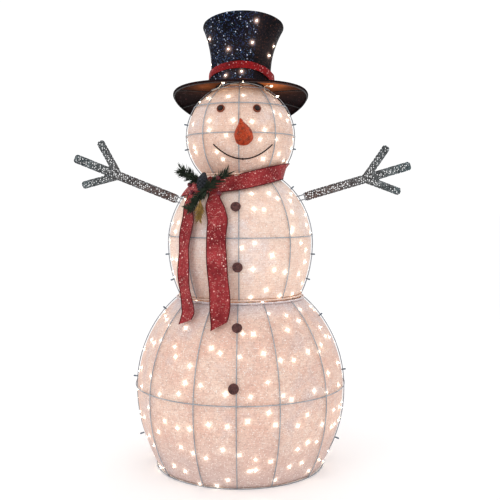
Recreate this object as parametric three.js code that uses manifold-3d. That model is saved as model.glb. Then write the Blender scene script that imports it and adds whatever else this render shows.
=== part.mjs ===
// A pre-lit snowman: three wire-frame balls in glitter mesh, a tilted top hat, twig arms and a ribbon scarf.
// Lengths are in millimetres and angles in degrees. +Z is up and the face looks along -Y.
// The origin is the centre of the bottom ring, on the ground.

import * as THREE from 'three';
import { mergeVertices } from 'three/addons/utils/BufferGeometryUtils.js';
import Module from 'manifold-3d';

const wasm = await Module();
wasm.setup();

// Driving dimensions
// The wires are the outermost layer of each ball; the cloth hangs inside them, and the light cord inside it.
const wireSize = 5;
const clothThickness = 1.5;
const clothDepth = 9.5;
const touchGap = 0.3;

// A ball is a sphere stretched by its own amount below and above its widest height, cut off at both ends.
const baseBall = {
  radius: 351,
  middle: 250,
  below: 412,
  above: 385,
  bottom: 0,
  top: 557,
  clothLow: 0,
  clothHigh: 551,
  sides: 24,
};
const torsoBall = {
  radius: 245,
  middle: 735,
  below: 320,
  above: 262,
  bottom: 560,
  top: 958,
  clothLow: 566,
  clothHigh: 944,
  sides: 16,
};
const headBall = { radius: 185, middle: 1092, below: 185, above: 185, bottom: 961, clothLow: 970, sides: 16 };

// Azimuths of the ribs of one side; the other side mirrors them, and the whole frame is turned a little.
const baseRibs = { side: [21.8, 51.8, 90, 128.2, 158.2], turn: -1.3 };
const torsoRibs = { side: [41.5, 90, 138.5], turn: -0.5 };
const headRibs = { side: [39.5, 90, 140.5], turn: -1 };
const ribSteps = 6;
const baseMiddleRing = 270;
const torsoMiddleRing = 760;
const headUpperRing = 1189;
const headTopRing = 1247;

const prongLength = 42;
const prongInset = 14;
const socketLength = 46;
const socketOuter = 5.5;
const socketInner = 3.6;

const cordSize = 3;
const cordBehindCloth = 10;
const cordStepsPerLoop = 12;
const baseLoops = [40, 130, 220, 310, 400, 485];
const torsoLoops = [600, 676, 740, 815, 912];
const headLoops = [990, 1050, 1115, 1180];
const hatLoops = [50, 120, 190];

const hatSides = 16;
const hatWireDepth = 7.5;
const hatCordDepth = 19.5;
const hatPlace = { back: 95, up: 1246, tilt: 12 };
const crownHeight = 253;
const crownFoot = 116;
const crownWaist = 109;
const crownWaistHeight = 75;
const crownTop = 146;
const crownLean = 9;
const brimRadius = 236;
const brimHole = 114;
const brimThickness = 2;
const brimSideRise = -7;
const brimFrontDip = 34;
const brimRearDip = 50;
const headRingInHat = 14;
const hatProngAzimuth = 45;
const hatProngEnd = -50;
const hatSocket = { top: -20, length: 44, hole: 9, holeTop: 10 };

const armRaise = { left: 22, right: 16.5 };
const armRoot = { left: [213, 880], right: [216, 889] };
const armLength = 375;
const armFork = 215;
const armFingers = [{ length: 133, turn: 39 }, { length: 127, turn: -37 }];
const armWidth = 27;
const fingerWidth = 23;
const armCorner = 8;
const armWire = 4;
const armProngSpread = 8;
const armPull = 70;
const armBack = 10;
const armRootBar = { out: 2, half: 12 };
const armHole = { size: 9, from: -80, to: 20 };
const armSocket = { start: -40, length: 46, thickness: 10, edge: 5, bore: 6.4 };
const sleeveCloth = { outside: 1.8, inside: 0.6, thickness: 8, hollow: 5.6, rootGap: 4 };

const ribbonWidth = 63.5;
const ribbonThickness = 3;

const buttonRadius = 16;
const buttonThickness = 7;
const buttons = [
  { name: 'button_1', ball: torsoBall, x: -12, z: 856 },
  { name: 'button_2', ball: torsoBall, x: -6, z: 671 },
  { name: 'button_3', ball: baseBall, x: -7, z: 488 },
  { name: 'button_4', ball: baseBall, x: -16, z: 321 },
];

const colours = {
  wire: [0xb9c2cc, 0.4, 0.8],
  cloth: [0xeedccf, 0.8, 0],
  cord: [0xe8e4da, 0.5, 0],
  connector: [0xe2ded2, 0.5, 0],
  button: [0x3a2224, 0.5, 0],
  eye: [0x1c0f0d, 0.3, 0],
  nose: [0xa9472a, 0.7, 0],
  mouth: [0x2b1512, 0.5, 0.3],
  hat: [0x1a1a26, 0.7, 0],
  band: [0x96161f, 0.6, 0],
  scarf: [0x8d2a2f, 0.8, 0],
  arm: [0x6c6862, 0.5, 0.3],
  needles: [0x24331f, 0.7, 0],
  cone: [0x35231a, 0.8, 0],
  berry: [0x5c1526, 0.3, 0],
};

// Geometry helpers

function radians(angle) {
  return THREE.MathUtils.degToRad(angle);
}

// Unit vector at an azimuth: 0 is the front (-Y) and +90 is the snowman's +X side.
function outward(azimuth) {
  return new THREE.Vector3(Math.sin(radians(azimuth)), -Math.cos(radians(azimuth)), 0);
}

function ballRadius(ball, z) {
  const reach = z < ball.middle ? ball.below : ball.above;
  const share = (z - ball.middle) / reach;
  return ball.radius * Math.sqrt(Math.max(0, 1 - share * share));
}

function inset(ball, depth) {
  return { ...ball, radius: ball.radius - depth, below: ball.below - depth, above: ball.above - depth };
}

// Latitude of a height on a ball, as an angle whose sine is the share of the way to the pole.
function latitude(ball, z) {
  const reach = z < ball.middle ? ball.below : ball.above;
  return Math.asin(Math.min(1, Math.max(-1, (z - ball.middle) / reach)));
}

function ballPoint(ball, angle) {
  const reach = angle < 0 ? ball.below : ball.above;
  return new THREE.Vector2(ball.radius * Math.cos(angle), ball.middle + reach * Math.sin(angle));
}

// Points of a ball's outline from one height to another, as radius and height.
function outline(ball, low, high, steps) {
  const start = latitude(ball, low);
  const end = latitude(ball, high);
  const points = [];
  for (let i = 0; i <= steps; i += 1) {
    points.push(ballPoint(ball, start + (end - start) * i / steps));
  }
  return points;
}

// A closed geometry as a manifold solid with its faces pointing out.
function toSolid(geometry) {
  const bare = geometry.clone();
  bare.deleteAttribute('normal');
  bare.deleteAttribute('uv');
  const merged = mergeVertices(bare, 1e-3);
  const corners = merged.index.array;
  const triangles = [];
  for (let i = 0; i < corners.length; i += 3) {
    const [a, b, c] = [corners[i], corners[i + 1], corners[i + 2]];
    if (a !== b && b !== c && c !== a) {
      triangles.push(a, b, c);
    }
  }
  const build = (order) => new wasm.Manifold(new wasm.Mesh({
    numProp: 3,
    vertProperties: new Float32Array(merged.attributes.position.array),
    triVerts: new Uint32Array(order),
  }));
  const made = build(triangles);
  return made.volume() > 0 ? made : build(triangles.reverse());
}

function toGeometry(solid) {
  const mesh = solid.getMesh();
  const geometry = new THREE.BufferGeometry();
  geometry.setAttribute('position', new THREE.BufferAttribute(new Float32Array(mesh.vertProperties), 3));
  geometry.setIndex(new THREE.BufferAttribute(new Uint32Array(mesh.triVerts), 1));
  return geometry;
}

function joined(solids) {
  return solids.reduce((sum, next) => sum.add(next));
}

// A solid of revolution about Z from a profile of radius and height.
function turned(profile, steps) {
  const geometry = new THREE.LatheGeometry(profile, steps);
  geometry.rotateX(Math.PI / 2);
  return geometry;
}

function closedLoop(points) {
  return [...points, points[0].clone()];
}

// A ring of square wire, flat side down.
function wireRing(radius, height, steps) {
  const half = wireSize / 2;
  const corners = [[-half, -half], [half, -half], [half, half], [-half, half]];
  return turned(closedLoop(corners.map(([r, z]) => new THREE.Vector2(radius + r, height + z))), steps);
}

function alongPath(path, steps, size = wireSize, sides = 4) {
  const corners = [];
  for (let i = 0; i < sides; i += 1) {
    const angle = 2 * Math.PI * i / sides;
    corners.push(new THREE.Vector2(size / 2 * Math.cos(angle), size / 2 * Math.sin(angle)));
  }
  const section = new THREE.Shape(corners);
  return new THREE.ExtrudeGeometry(section, { steps, bevelEnabled: false, extrudePath: path });
}

// A rod between two points.
function rod(start, end, size = wireSize, sides = 4) {
  return alongPath(new THREE.LineCurve3(start, end), 1, size, sides);
}

// A cylinder-like tube about Z with an open bore.
function sleeve(inner, outer, low, high, steps = 6) {
  const profile = [[inner, low], [outer, low], [outer, high], [inner, high]];
  return turned(closedLoop(profile.map(([r, z]) => new THREE.Vector2(r, z))), steps);
}

// A filled solid of a ball's outline between two heights, used to cut its neighbours to fit it.
function ballCutter(ball, extra) {
  const grown = inset(ball, -extra);
  const side = outline(grown, ball.bottom, grown.middle + grown.above, 16);
  return toSolid(turned([new THREE.Vector2(0, ball.bottom - extra), ...side], ball.sides));
}

// One meridian wire of a ball at an azimuth, from one latitude to another.
class MeridianCurve extends THREE.Curve {
  constructor(ball, azimuth, start, end) {
    super();
    Object.assign(this, { ball, azimuth, start, end });
  }

  getPoint(t, target = new THREE.Vector3()) {
    const place = ballPoint(this.ball, this.start + (this.end - this.start) * t);
    return target.copy(outward(this.azimuth)).multiplyScalar(place.x).setZ(place.y);
  }
}

// A light cord that runs in level loops and climbs from one to the next behind the snowman.
class LoopsCurve extends THREE.Curve {
  constructor(heights, radiusAt) {
    super();
    Object.assign(this, { heights, radiusAt });
  }

  getPoint(t, target = new THREE.Vector3()) {
    const turns = t * this.heights.length;
    const loop = Math.min(this.heights.length - 1, Math.floor(turns));
    const share = turns - loop;
    const climb = THREE.MathUtils.smoothstep(share, 0.82, 1);
    const above = this.heights[Math.min(this.heights.length - 1, loop + 1)];
    const height = THREE.MathUtils.lerp(this.heights[loop], above, climb);
    const azimuth = 180 + 360 * share - 12;
    return target.copy(outward(azimuth)).multiplyScalar(this.radiusAt(height)).setZ(height);
  }
}

// Scene helpers

const snowman = new THREE.Group();
snowman.name = 'snowman';

function material(kind) {
  const [colour, roughness, metalness] = colours[kind];
  return new THREE.MeshStandardMaterial({ color: colour, roughness, metalness });
}

function addPiece(parent, name, solid, kind) {
  const mesh = new THREE.Mesh(toGeometry(solid), material(kind));
  mesh.name = name;
  parent.add(mesh);
  return mesh;
}

// A vertical prong on the inside of a ring, with the stub that welds it there.
function prong(ringRadius, ringHeight, azimuth, size = wireSize) {
  const foot = outward(azimuth).multiplyScalar(ringRadius - prongInset).setZ(ringHeight - prongLength);
  const head = foot.clone().setZ(ringHeight);
  const weld = outward(azimuth).multiplyScalar(ringRadius).setZ(ringHeight);
  const back = outward(azimuth).multiplyScalar(ringRadius - prongInset - 1).setZ(ringHeight);
  return [toSolid(rod(foot, head, size)), toSolid(rod(back, weld, size - 1))];
}

// The cloth of a ball that is open at both ends.
function cover(ball, steps) {
  const outer = outline(inset(ball, clothDepth), ball.clothLow, ball.clothHigh, steps);
  const inside = inset(ball, clothDepth + clothThickness);
  const inner = outline(inside, ball.clothLow, ball.clothHigh, steps).reverse();
  return toSolid(turned(closedLoop([...outer, ...inner]), ball.sides));
}

function wireBall(ball) {
  return inset(ball, wireSize / 2);
}

function ballRings(ball, heights) {
  return heights.map((z) => toSolid(wireRing(ballRadius(wireBall(ball), z), z, ball.sides)));
}

function ballRibs(ball, { side, turn }, low, high) {
  const wires = wireBall(ball);
  const azimuths = [0, ...side, 180, ...side.map((azimuth) => -azimuth)];
  return azimuths.map((azimuth) => {
    const path = new MeridianCurve(wires, azimuth + turn, latitude(wires, low), latitude(wires, high));
    return toSolid(alongPath(path, ribSteps));
  });
}

// Four tubes standing just under a section's top ring, in line with the prongs of the section above.
function addSocketTubes(parent, prefix, ringRadius, ringBottom, firstAzimuth) {
  for (let i = 0; i < 4; i += 1) {
    const tube = toSolid(sleeve(socketInner, socketOuter, 0, socketLength));
    const piece = addPiece(parent, `${prefix}_${i + 1}`, tube, 'wire');
    const place = outward(firstAzimuth + 90 * i).multiplyScalar(ringRadius - prongInset);
    piece.position.copy(place.setZ(ringBottom - touchGap - socketLength));
  }
}

function lightCord(ball, heights) {
  const hung = inset(ball, clothDepth + clothThickness + cordBehindCloth);
  const path = new LoopsCurve(heights, (z) => ballRadius(hung, z));
  return toSolid(alongPath(path, cordStepsPerLoop * heights.length, cordSize));
}

// The plug of the section above sits on the socket of the section below, behind the rings.
const connector = { across: 14, tall: 20, backBy: 30 };

function addConnector(parent, name, back, low) {
  const block = new THREE.BoxGeometry(connector.across, connector.across, connector.tall);
  const piece = addPiece(parent, name, toSolid(block), 'connector');
  piece.position.set(0, back, low + connector.tall / 2);
}

// A domed disc that lies against a ball, or a little way inside it.
function addButton(parent, { name, ball, x, z }, radius, thickness, kind) {
  const edge = thickness * 0.55;
  const profile = [
    [0, 0],
    [radius * 0.9, 0],
    [radius, edge],
    [radius * 0.6, thickness],
    [0, thickness * 1.08],
  ];
  const disc = toSolid(turned(profile.map(([r, h]) => new THREE.Vector2(r, h)), 12));
  const piece = addPiece(parent, name, disc, kind);
  const reach = ballRadius(ball, z);
  const y = -Math.sqrt(reach * reach - x * x);
  const half = z < ball.middle ? ball.below : ball.above;
  const normal = new THREE.Vector3(
    x / ball.radius ** 2,
    y / ball.radius ** 2,
    (z - ball.middle) / half ** 2,
  ).normalize();
  piece.quaternion.setFromUnitVectors(new THREE.Vector3(0, 0, 1), normal);
  piece.position.set(x, y, z).addScaledVector(normal, touchGap);
}

// Base section

const base = new THREE.Group();
snowman.add(base);
const baseTopRing = baseBall.top - wireSize / 2;
const torsoBottomRing = torsoBall.bottom + wireSize / 2;
const torsoBottomRadius = ballRadius(wireBall(torsoBall), torsoBottomRing);
const baseProngAzimuth = 15;

addPiece(base, 'base_frame', joined([
  ...ballRings(baseBall, [wireSize / 2, baseMiddleRing, baseTopRing]),
  ...ballRibs(baseBall, baseRibs, wireSize / 2, baseTopRing),
]), 'wire');
addPiece(base, 'base_cover', cover(baseBall, 7), 'cloth');
addPiece(base, 'base_light_string', lightCord(baseBall, baseLoops), 'cord');
addSocketTubes(base, 'base_socket_tube', torsoBottomRadius, baseBall.top - wireSize, baseProngAzimuth);
const baseConnectorBack = torsoBottomRadius - connector.backBy;
addConnector(base, 'base_string_socket', baseConnectorBack, torsoBall.bottom - connector.tall);

// Torso section

const torso = new THREE.Group();
snowman.add(torso);
const torsoTopRing = torsoBall.top - wireSize / 2;
const headBottomRing = headBall.bottom + wireSize / 2;
const headBottomRadius = ballRadius(wireBall(headBall), headBottomRing);
const torsoProngAzimuth = 22.5;

const torsoProngs = [0, 1, 2, 3].flatMap(
  (i) => prong(torsoBottomRadius, torsoBottomRing, baseProngAzimuth + 90 * i),
);
addPiece(torso, 'torso_frame', joined([
  ...ballRings(torsoBall, [torsoBottomRing, torsoMiddleRing, torsoTopRing]),
  ...ballRibs(torsoBall, torsoRibs, torsoBottomRing, torsoTopRing),
  ...torsoProngs,
]), 'wire');
addPiece(torso, 'torso_light_string', lightCord(torsoBall, torsoLoops), 'cord');
addSocketTubes(torso, 'torso_socket_tube', headBottomRadius, torsoBall.top - wireSize, torsoProngAzimuth);
const torsoConnectorBack = headBottomRadius - connector.backBy;
addConnector(torso, 'torso_string_plug', baseConnectorBack, torsoBall.bottom + touchGap);
addConnector(torso, 'torso_string_socket', torsoConnectorBack, headBall.bottom - connector.tall);

// Arms: a flat wire outline with two prongs, inside a mesh sleeve that is open at the root.

// The bars that make up the flat twig, grown or shrunk by a margin, as one solid.
function twig(side, margin, thickness, rootX = 0) {
  const bar = (fromX, fromZ, turn, length, width) => {
    const shape = new THREE.Shape();
    const half = width / 2 + margin;
    const corner = armCorner + margin;
    const cornerX = length + margin - corner;
    shape.moveTo(0, -half);
    shape.lineTo(cornerX, -half);
    shape.absarc(cornerX, corner - half, corner, -Math.PI / 2, 0, false);
    shape.absarc(cornerX, half - corner, corner, 0, Math.PI / 2, false);
    shape.lineTo(0, half);
    shape.closePath();
    const geometry = new THREE.ExtrudeGeometry(shape, {
      depth: thickness,
      bevelEnabled: false,
      curveSegments: 3,
    });
    geometry.translate(0, 0, -thickness / 2);
    geometry.rotateX(Math.PI / 2);
    geometry.rotateY(-radians(turn));
    geometry.translate(fromX, 0, fromZ);
    if (side < 0) {
      geometry.rotateZ(Math.PI);
    }
    return toSolid(geometry);
  };
  const bars = [bar(rootX, 0, 0, armLength - rootX, armWidth)];
  armFingers.forEach(({ length, turn }) => bars.push(bar(armFork, 0, turn, length, fingerWidth)));
  return joined(bars);
}

function armPlace(name) {
  const side = name === 'left' ? -1 : 1;
  const [x, z] = armRoot[name];
  const place = new THREE.Group();
  place.position.set(side * x, armBack, z);
  place.rotation.y = -side * radians(armRaise[name]);
  place.updateMatrixWorld();
  return { side, place };
}

// Room in the torso's cover for an arm's two prongs.
function armHoles(name) {
  const { side, place } = armPlace(name);
  return joined([-1, 1].map((row) => {
    const z = row * armProngSpread;
    const start = new THREE.Vector3(side * armHole.from, 0, z);
    const end = new THREE.Vector3(side * armHole.to, 0, z);
    const hole = rod(start, end, armHole.size, 8);
    hole.applyMatrix4(place.matrixWorld);
    return toSolid(hole);
  }));
}

let torsoSkin = cover(torsoBall, 7);
for (const name of ['left', 'right']) {
  const { side, place } = armPlace(name);
  snowman.add(place);
  const prongs = [-1, 1].map((row) => {
    const z = row * armProngSpread;
    const start = new THREE.Vector3(side * -armPull, 0, z);
    return toSolid(rod(start, new THREE.Vector3(side * (armRootBar.out + 1), 0, z), armWire));
  });
  const rootX = side * armRootBar.out;
  const rootLow = new THREE.Vector3(rootX, 0, -armRootBar.half);
  const rootBar = toSolid(rod(rootLow, new THREE.Vector3(rootX, 0, armRootBar.half), armWire));
  const outlineWire = twig(side, 0, armWire).subtract(twig(side, -armWire, armWire * 3, -1));
  addPiece(place, `arm_${name}_frame`, joined([outlineWire, ...prongs, rootBar]), 'wire');
  const hollow = twig(side, sleeveCloth.inside, sleeveCloth.hollow, -1);
  const skin = twig(side, sleeveCloth.outside, sleeveCloth.thickness, sleeveCloth.rootGap).subtract(hollow);
  addPiece(place, `arm_${name}_cover`, skin, 'arm');

  const socketTall = 2 * (armProngSpread + armSocket.edge);
  const block = new THREE.BoxGeometry(armSocket.length, armSocket.thickness, socketTall);
  block.translate(side * (armSocket.start - armSocket.length / 2), 0, 0);
  const bores = joined([-1, 1].map((row) => {
    const z = row * armProngSpread;
    const start = new THREE.Vector3(side * (armSocket.start + 1), 0, z);
    const end = new THREE.Vector3(side * (armSocket.start - armSocket.length - 1), 0, z);
    return toSolid(rod(start, end, armSocket.bore, 8));
  }));
  const socket = toSolid(block).subtract(bores);
  const holder = new THREE.Group();
  holder.position.copy(place.position);
  holder.rotation.copy(place.rotation);
  torso.add(holder);
  addPiece(holder, `arm_socket_${name}`, socket, 'wire');
  torsoSkin = torsoSkin.subtract(armHoles(name));
}
addPiece(torso, 'torso_cover', torsoSkin, 'cloth');

// Head section

const head = new THREE.Group();
snowman.add(head);
const headWires = wireBall(headBall);
const headProngs = [0, 1, 2, 3].flatMap(
  (i) => prong(headBottomRadius, headBottomRing, torsoProngAzimuth + 90 * i),
);
const overTheTop = [0, 90].map((azimuth) => {
  const start = latitude(headWires, headTopRing);
  const path = new MeridianCurve(headWires, azimuth + headRibs.turn, start, Math.PI - start);
  return toSolid(alongPath(path, ribSteps));
});
addPiece(head, 'head_frame', joined([
  ...ballRings(headBall, [headBottomRing, headBall.middle, headUpperRing, headTopRing]),
  ...ballRibs(headBall, headRibs, headBottomRing, headTopRing),
  ...overTheTop,
  ...headProngs,
]), 'wire');
addPiece(head, 'head_light_string', lightCord(headBall, headLoops), 'cord');
addConnector(head, 'head_string_plug', torsoConnectorBack, headBall.bottom + touchGap);

// Hat, built about its own axis with its origin at the middle of the brim.

const hat = new THREE.Group();
hat.position.set(0, hatPlace.back, hatPlace.up);
hat.rotation.x = -radians(hatPlace.tilt);
snowman.add(hat);
hat.updateMatrixWorld();

const hatSockets = new THREE.Group();
hatSockets.position.copy(hat.position);
hatSockets.rotation.copy(hat.rotation);
head.add(hatSockets);

function crownRadius(height) {
  if (height < crownWaistHeight) {
    return crownWaist + (crownFoot - crownWaist) * ((crownWaistHeight - height) / crownWaistHeight) ** 2;
  }
  const above = (height - crownWaistHeight) / (crownHeight - crownWaistHeight);
  return crownWaist + (crownTop - crownWaist) * above ** 2;
}

// Height of the bent brim at a point of its plane: the sides rise a little, the front and the rear bend down.
function brimBend(x, y) {
  const reach = Math.hypot(x, y);
  const outside = Math.max(0, (reach - crownFoot) / (brimRadius - crownFoot));
  const dip = y < 0 ? brimFrontDip : brimRearDip;
  const sideways = (x / reach) ** 2;
  return outside ** 2 * (brimSideRise * sideways - dip * (1 - sideways));
}

function bent(geometry) {
  const places = geometry.attributes.position;
  for (let i = 0; i < places.count; i += 1) {
    places.setZ(i, places.getZ(i) + brimBend(places.getX(i), places.getY(i)));
  }
  return geometry;
}

// The crown leans towards +X, more the higher it is.
function leaning(solid) {
  return solid.warp((place) => {
    place[0] += crownLean * (Math.max(0, place[2]) / crownHeight) ** 2;
  });
}

function crownOutline(margin, low, high, steps) {
  const points = [];
  for (let i = 0; i <= steps; i += 1) {
    const height = low + (high - low) * i / steps;
    points.push(new THREE.Vector2(crownRadius(height) + margin, height));
  }
  return points;
}

class CrownCurve extends THREE.Curve {
  constructor(azimuth, low, high) {
    super();
    Object.assign(this, { azimuth, low, high });
  }

  getPoint(t, target = new THREE.Vector3()) {
    const height = THREE.MathUtils.lerp(this.low, this.high, t);
    return target.copy(outward(this.azimuth)).multiplyScalar(crownRadius(height) - hatWireDepth).setZ(height);
  }
}

class SpokeCurve extends THREE.Curve {
  constructor(azimuth) {
    super();
    this.azimuth = azimuth;
  }

  getPoint(t, target = new THREE.Vector3()) {
    const reach = THREE.MathUtils.lerp(crownRadius(0) - hatWireDepth - 1, brimRadius - wireSize, t);
    target.copy(outward(this.azimuth)).multiplyScalar(reach);
    return target.setZ(brimBend(target.x, target.y) - wireUnderBrim);
  }
}

const wireUnderBrim = 6;
const headInHat = hat.worldToLocal(new THREE.Vector3(0, 0, headBall.middle));
const headRoom = new THREE.SphereGeometry(headBall.radius + 4, 24, 18);
headRoom.translate(headInHat.x, headInHat.y, headInHat.z);
const headSpace = toSolid(headRoom);

const brimWire = toSolid(bent(wireRing(brimRadius - wireSize, -wireUnderBrim, hatSides)));
const crownRings = [headRingInHat, crownHeight - hatWireDepth].map(
  (z) => toSolid(wireRing(crownRadius(z) - hatWireDepth, z, hatSides)),
);
const hatWires = [];
for (let i = 0; i < 8; i += 1) {
  const azimuth = 22.5 + 45 * i;
  const overHead = Math.abs(THREE.MathUtils.euclideanModulo(azimuth + 180, 360) - 180) < 45;
  const foot = overHead ? headRingInHat : -wireUnderBrim;
  hatWires.push(toSolid(alongPath(new CrownCurve(azimuth, foot, crownHeight - hatWireDepth), 5)));
  if (!overHead) {
    hatWires.push(toSolid(alongPath(new SpokeCurve(azimuth), 4)));
  }
}
const hatProngReach = crownRadius(headRingInHat) - hatWireDepth;
const hatProngs = [-1, 1].map((side) => {
  const top = outward(side * hatProngAzimuth).multiplyScalar(hatProngReach).setZ(headRingInHat);
  return toSolid(rod(top.clone().setZ(hatProngEnd), top, wireSize));
});
addPiece(hat, 'hat_frame', leaning(joined([brimWire, ...crownRings, ...hatWires, ...hatProngs])), 'wire');

const crownOuter = crownOutline(0, brimThickness + touchGap, crownHeight, 5);
const crownUnderside = crownHeight - clothThickness;
const crownInner = crownOutline(-clothThickness, brimThickness + touchGap, crownUnderside, 5).reverse();
const crownSkin = toSolid(turned([
  new THREE.Vector2(0, crownUnderside),
  ...crownInner,
  ...crownOuter,
  new THREE.Vector2(0, crownHeight),
], hatSides));
addPiece(hat, 'hat_crown_cover', leaning(crownSkin.subtract(headSpace)), 'hat');

const brimProfile = [];
for (let i = 0; i <= 3; i += 1) {
  brimProfile.push(new THREE.Vector2(THREE.MathUtils.lerp(brimHole, brimRadius, i / 3), 0));
}
for (let i = 3; i >= 0; i -= 1) {
  brimProfile.push(new THREE.Vector2(THREE.MathUtils.lerp(brimHole, brimRadius, i / 3), brimThickness));
}
const brimSkin = toSolid(bent(turned(closedLoop(brimProfile), hatSides)));
addPiece(hat, 'hat_brim_cover', brimSkin.subtract(headSpace), 'hat');

// The red band round the crown: it hangs lower at the sides, and is wider on the +X side.
const band = { low: 57, high: 83, inside: 1, outside: 4, slope: 0.03, sideDrop: 12, widen: 16 };
const bandOuter = crownOutline(band.outside, band.low, band.high, 1);
const bandInner = crownOutline(band.inside, band.low, band.high, 1).reverse();
const bandLoop = turned(closedLoop([...bandOuter, ...bandInner]), hatSides);
const bandPlaces = bandLoop.attributes.position;
for (let i = 0; i < bandPlaces.count; i += 1) {
  const [x, y, z] = [bandPlaces.getX(i), bandPlaces.getY(i), bandPlaces.getZ(i)];
  const sideways = x / Math.hypot(x, y);
  const wider = z < (band.low + band.high) / 2 ? band.widen * Math.max(0, sideways) ** 2 : 0;
  const height = z - band.slope * x - band.sideDrop * sideways ** 2 - wider;
  const grown = 1 + (crownRadius(height) - crownRadius(z)) / Math.hypot(x, y);
  bandPlaces.setXYZ(i, x * grown, y * grown, height);
}
addPiece(hat, 'hat_band', leaning(toSolid(bandLoop)), 'band');

const crownCord = new LoopsCurve(hatLoops, (z) => crownRadius(z) - hatCordDepth);
const crownCordSolid = toSolid(alongPath(crownCord, cordStepsPerLoop * hatLoops.length, cordSize));
addPiece(hat, 'hat_light_string', leaning(crownCordSolid), 'cord');

// Sockets for the hat's two prongs, and the holes that the prongs pass through in the head's cover.
const headOuter = inset(headBall, clothDepth);
const headInner = inset(headBall, clothDepth + clothThickness);
let headSkin = toSolid(turned([
  ...outline(headInner, headBall.clothLow, headInner.middle + headInner.above, 8).reverse(),
  ...outline(headOuter, headBall.clothLow, headOuter.middle + headOuter.above, 8),
], headBall.sides));
for (const side of [-1, 1]) {
  const place = outward(side * hatProngAzimuth).multiplyScalar(hatProngReach);
  const tube = sleeve(socketInner, socketOuter, hatSocket.top - hatSocket.length, hatSocket.top);
  tube.translate(place.x, place.y, 0);
  addPiece(hatSockets, `hat_socket_tube_${side < 0 ? 'left' : 'right'}`, toSolid(tube), 'wire');
  const holeLow = place.clone().setZ(hatSocket.top);
  const hole = rod(holeLow, place.clone().setZ(hatSocket.holeTop), hatSocket.hole, 8);
  hole.applyMatrix4(hat.matrixWorld);
  headSkin = headSkin.subtract(toSolid(hole));
}
addPiece(head, 'head_cover', headSkin, 'cloth');

// Face

const eyeBall = inset(headBall, clothDepth - 1);
const eyeRadius = 13;
const eyeThickness = 9;
addButton(head, { name: 'eye_left', ball: eyeBall, x: -60, z: 1169 }, eyeRadius, eyeThickness, 'eye');
addButton(head, { name: 'eye_right', ball: eyeBall, x: 54, z: 1169 }, eyeRadius, eyeThickness, 'eye');

const noseRoot = new THREE.Vector3(14, -172, 1073);
const noseTip = new THREE.Vector3(4, -287, 1125);
const noseLength = noseRoot.distanceTo(noseTip);
const noseProfile = [
  [0, 0],
  [26, 0],
  [30, 14],
  [27.5, 34],
  [18, 66],
  [9, 96],
  [4, noseLength - 4],
  [0, noseLength],
];
const noseBody = turned(noseProfile.map(([r, z]) => new THREE.Vector2(r, z)), 12);
const noseTurn = new THREE.Quaternion().setFromUnitVectors(
  new THREE.Vector3(0, 0, 1),
  noseTip.clone().sub(noseRoot).normalize(),
);
noseBody.applyQuaternion(noseTurn);
noseBody.translate(noseRoot.x, noseRoot.y, noseRoot.z);
const headCutter = ballCutter(headBall, touchGap + 1);
addPiece(head, 'nose', toSolid(noseBody).subtract(headCutter), 'nose');

const smile = { middle: 10, halfWidth: 94, low: 1008, rise: 47, size: 4, gap: 0.6 };

class SmileCurve extends THREE.Curve {
  getPoint(t, target = new THREE.Vector3()) {
    const share = 2 * t - 1;
    const x = smile.middle + smile.halfWidth * share;
    const z = smile.low + smile.rise * share * share;
    const reach = headBall.radius + smile.size / 2 + smile.gap;
    const up = z - headBall.middle;
    return target.set(x, -Math.sqrt(reach * reach - up * up - x * x), z);
  }
}

addPiece(head, 'mouth_wire', toSolid(alongPath(new SmileCurve(), 14, smile.size)), 'mouth');

for (const button of buttons) {
  addButton(button.ball === baseBall ? base : torso, button, buttonRadius, buttonThickness, 'button');
}

// Scarf

const wrapLow = 932;
const wrapHigh = 988;
const wrapMiddle = 955;
const wrapGap = 1.5;
const neckGap = 3;
const neckSide = [
  ...outline(inset(torsoBall, -wrapGap), wrapLow, torsoBall.top - neckGap, 3),
  ...outline(inset(headBall, -wrapGap), headBall.bottom + neckGap, wrapHigh, 3),
];
const wrapProfile = [[165, wrapHigh - 5], [170, 965], [168, 945], [164, wrapLow - 3]];

// The outside of the wrapped ribbon, grown by a margin.
function wrapOutside(margin) {
  return wrapProfile.map(([r, z]) => new THREE.Vector2(r + margin, z + Math.sign(z - wrapMiddle) * margin));
}

const wrap = toSolid(turned(closedLoop([...neckSide, ...wrapOutside(0)]), torsoBall.sides));
addPiece(torso, 'scarf_neck_wrap', wrap, 'scarf');

const knotSize = {
  half: [33, 22, 30],
  turn: -38,
  place: [-113, -147, 928],
  roomInside: 20,
  room: 1.5,
  overTorso: 2.5,
};
const knotBody = new THREE.SphereGeometry(1, 12, 8);
knotBody.scale(...knotSize.half);
knotBody.rotateZ(radians(knotSize.turn));
knotBody.translate(...knotSize.place);
const wrapRoom = toSolid(turned(closedLoop([
  ...neckSide.map((point) => new THREE.Vector2(point.x - knotSize.roomInside, point.y)),
  ...wrapOutside(knotSize.room),
]), torsoBall.sides));
const torsoCutter = ballCutter({ ...torsoBall, top: torsoBall.middle + torsoBall.above }, knotSize.overTorso);
const knot = toSolid(knotBody).subtract(wrapRoom).subtract(torsoCutter);
addPiece(torso, 'scarf_knot', knot, 'scarf');

// A ribbon tail that falls over the torso and onto the base, bent from a flat strip.
const tailStand = 7;

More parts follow.
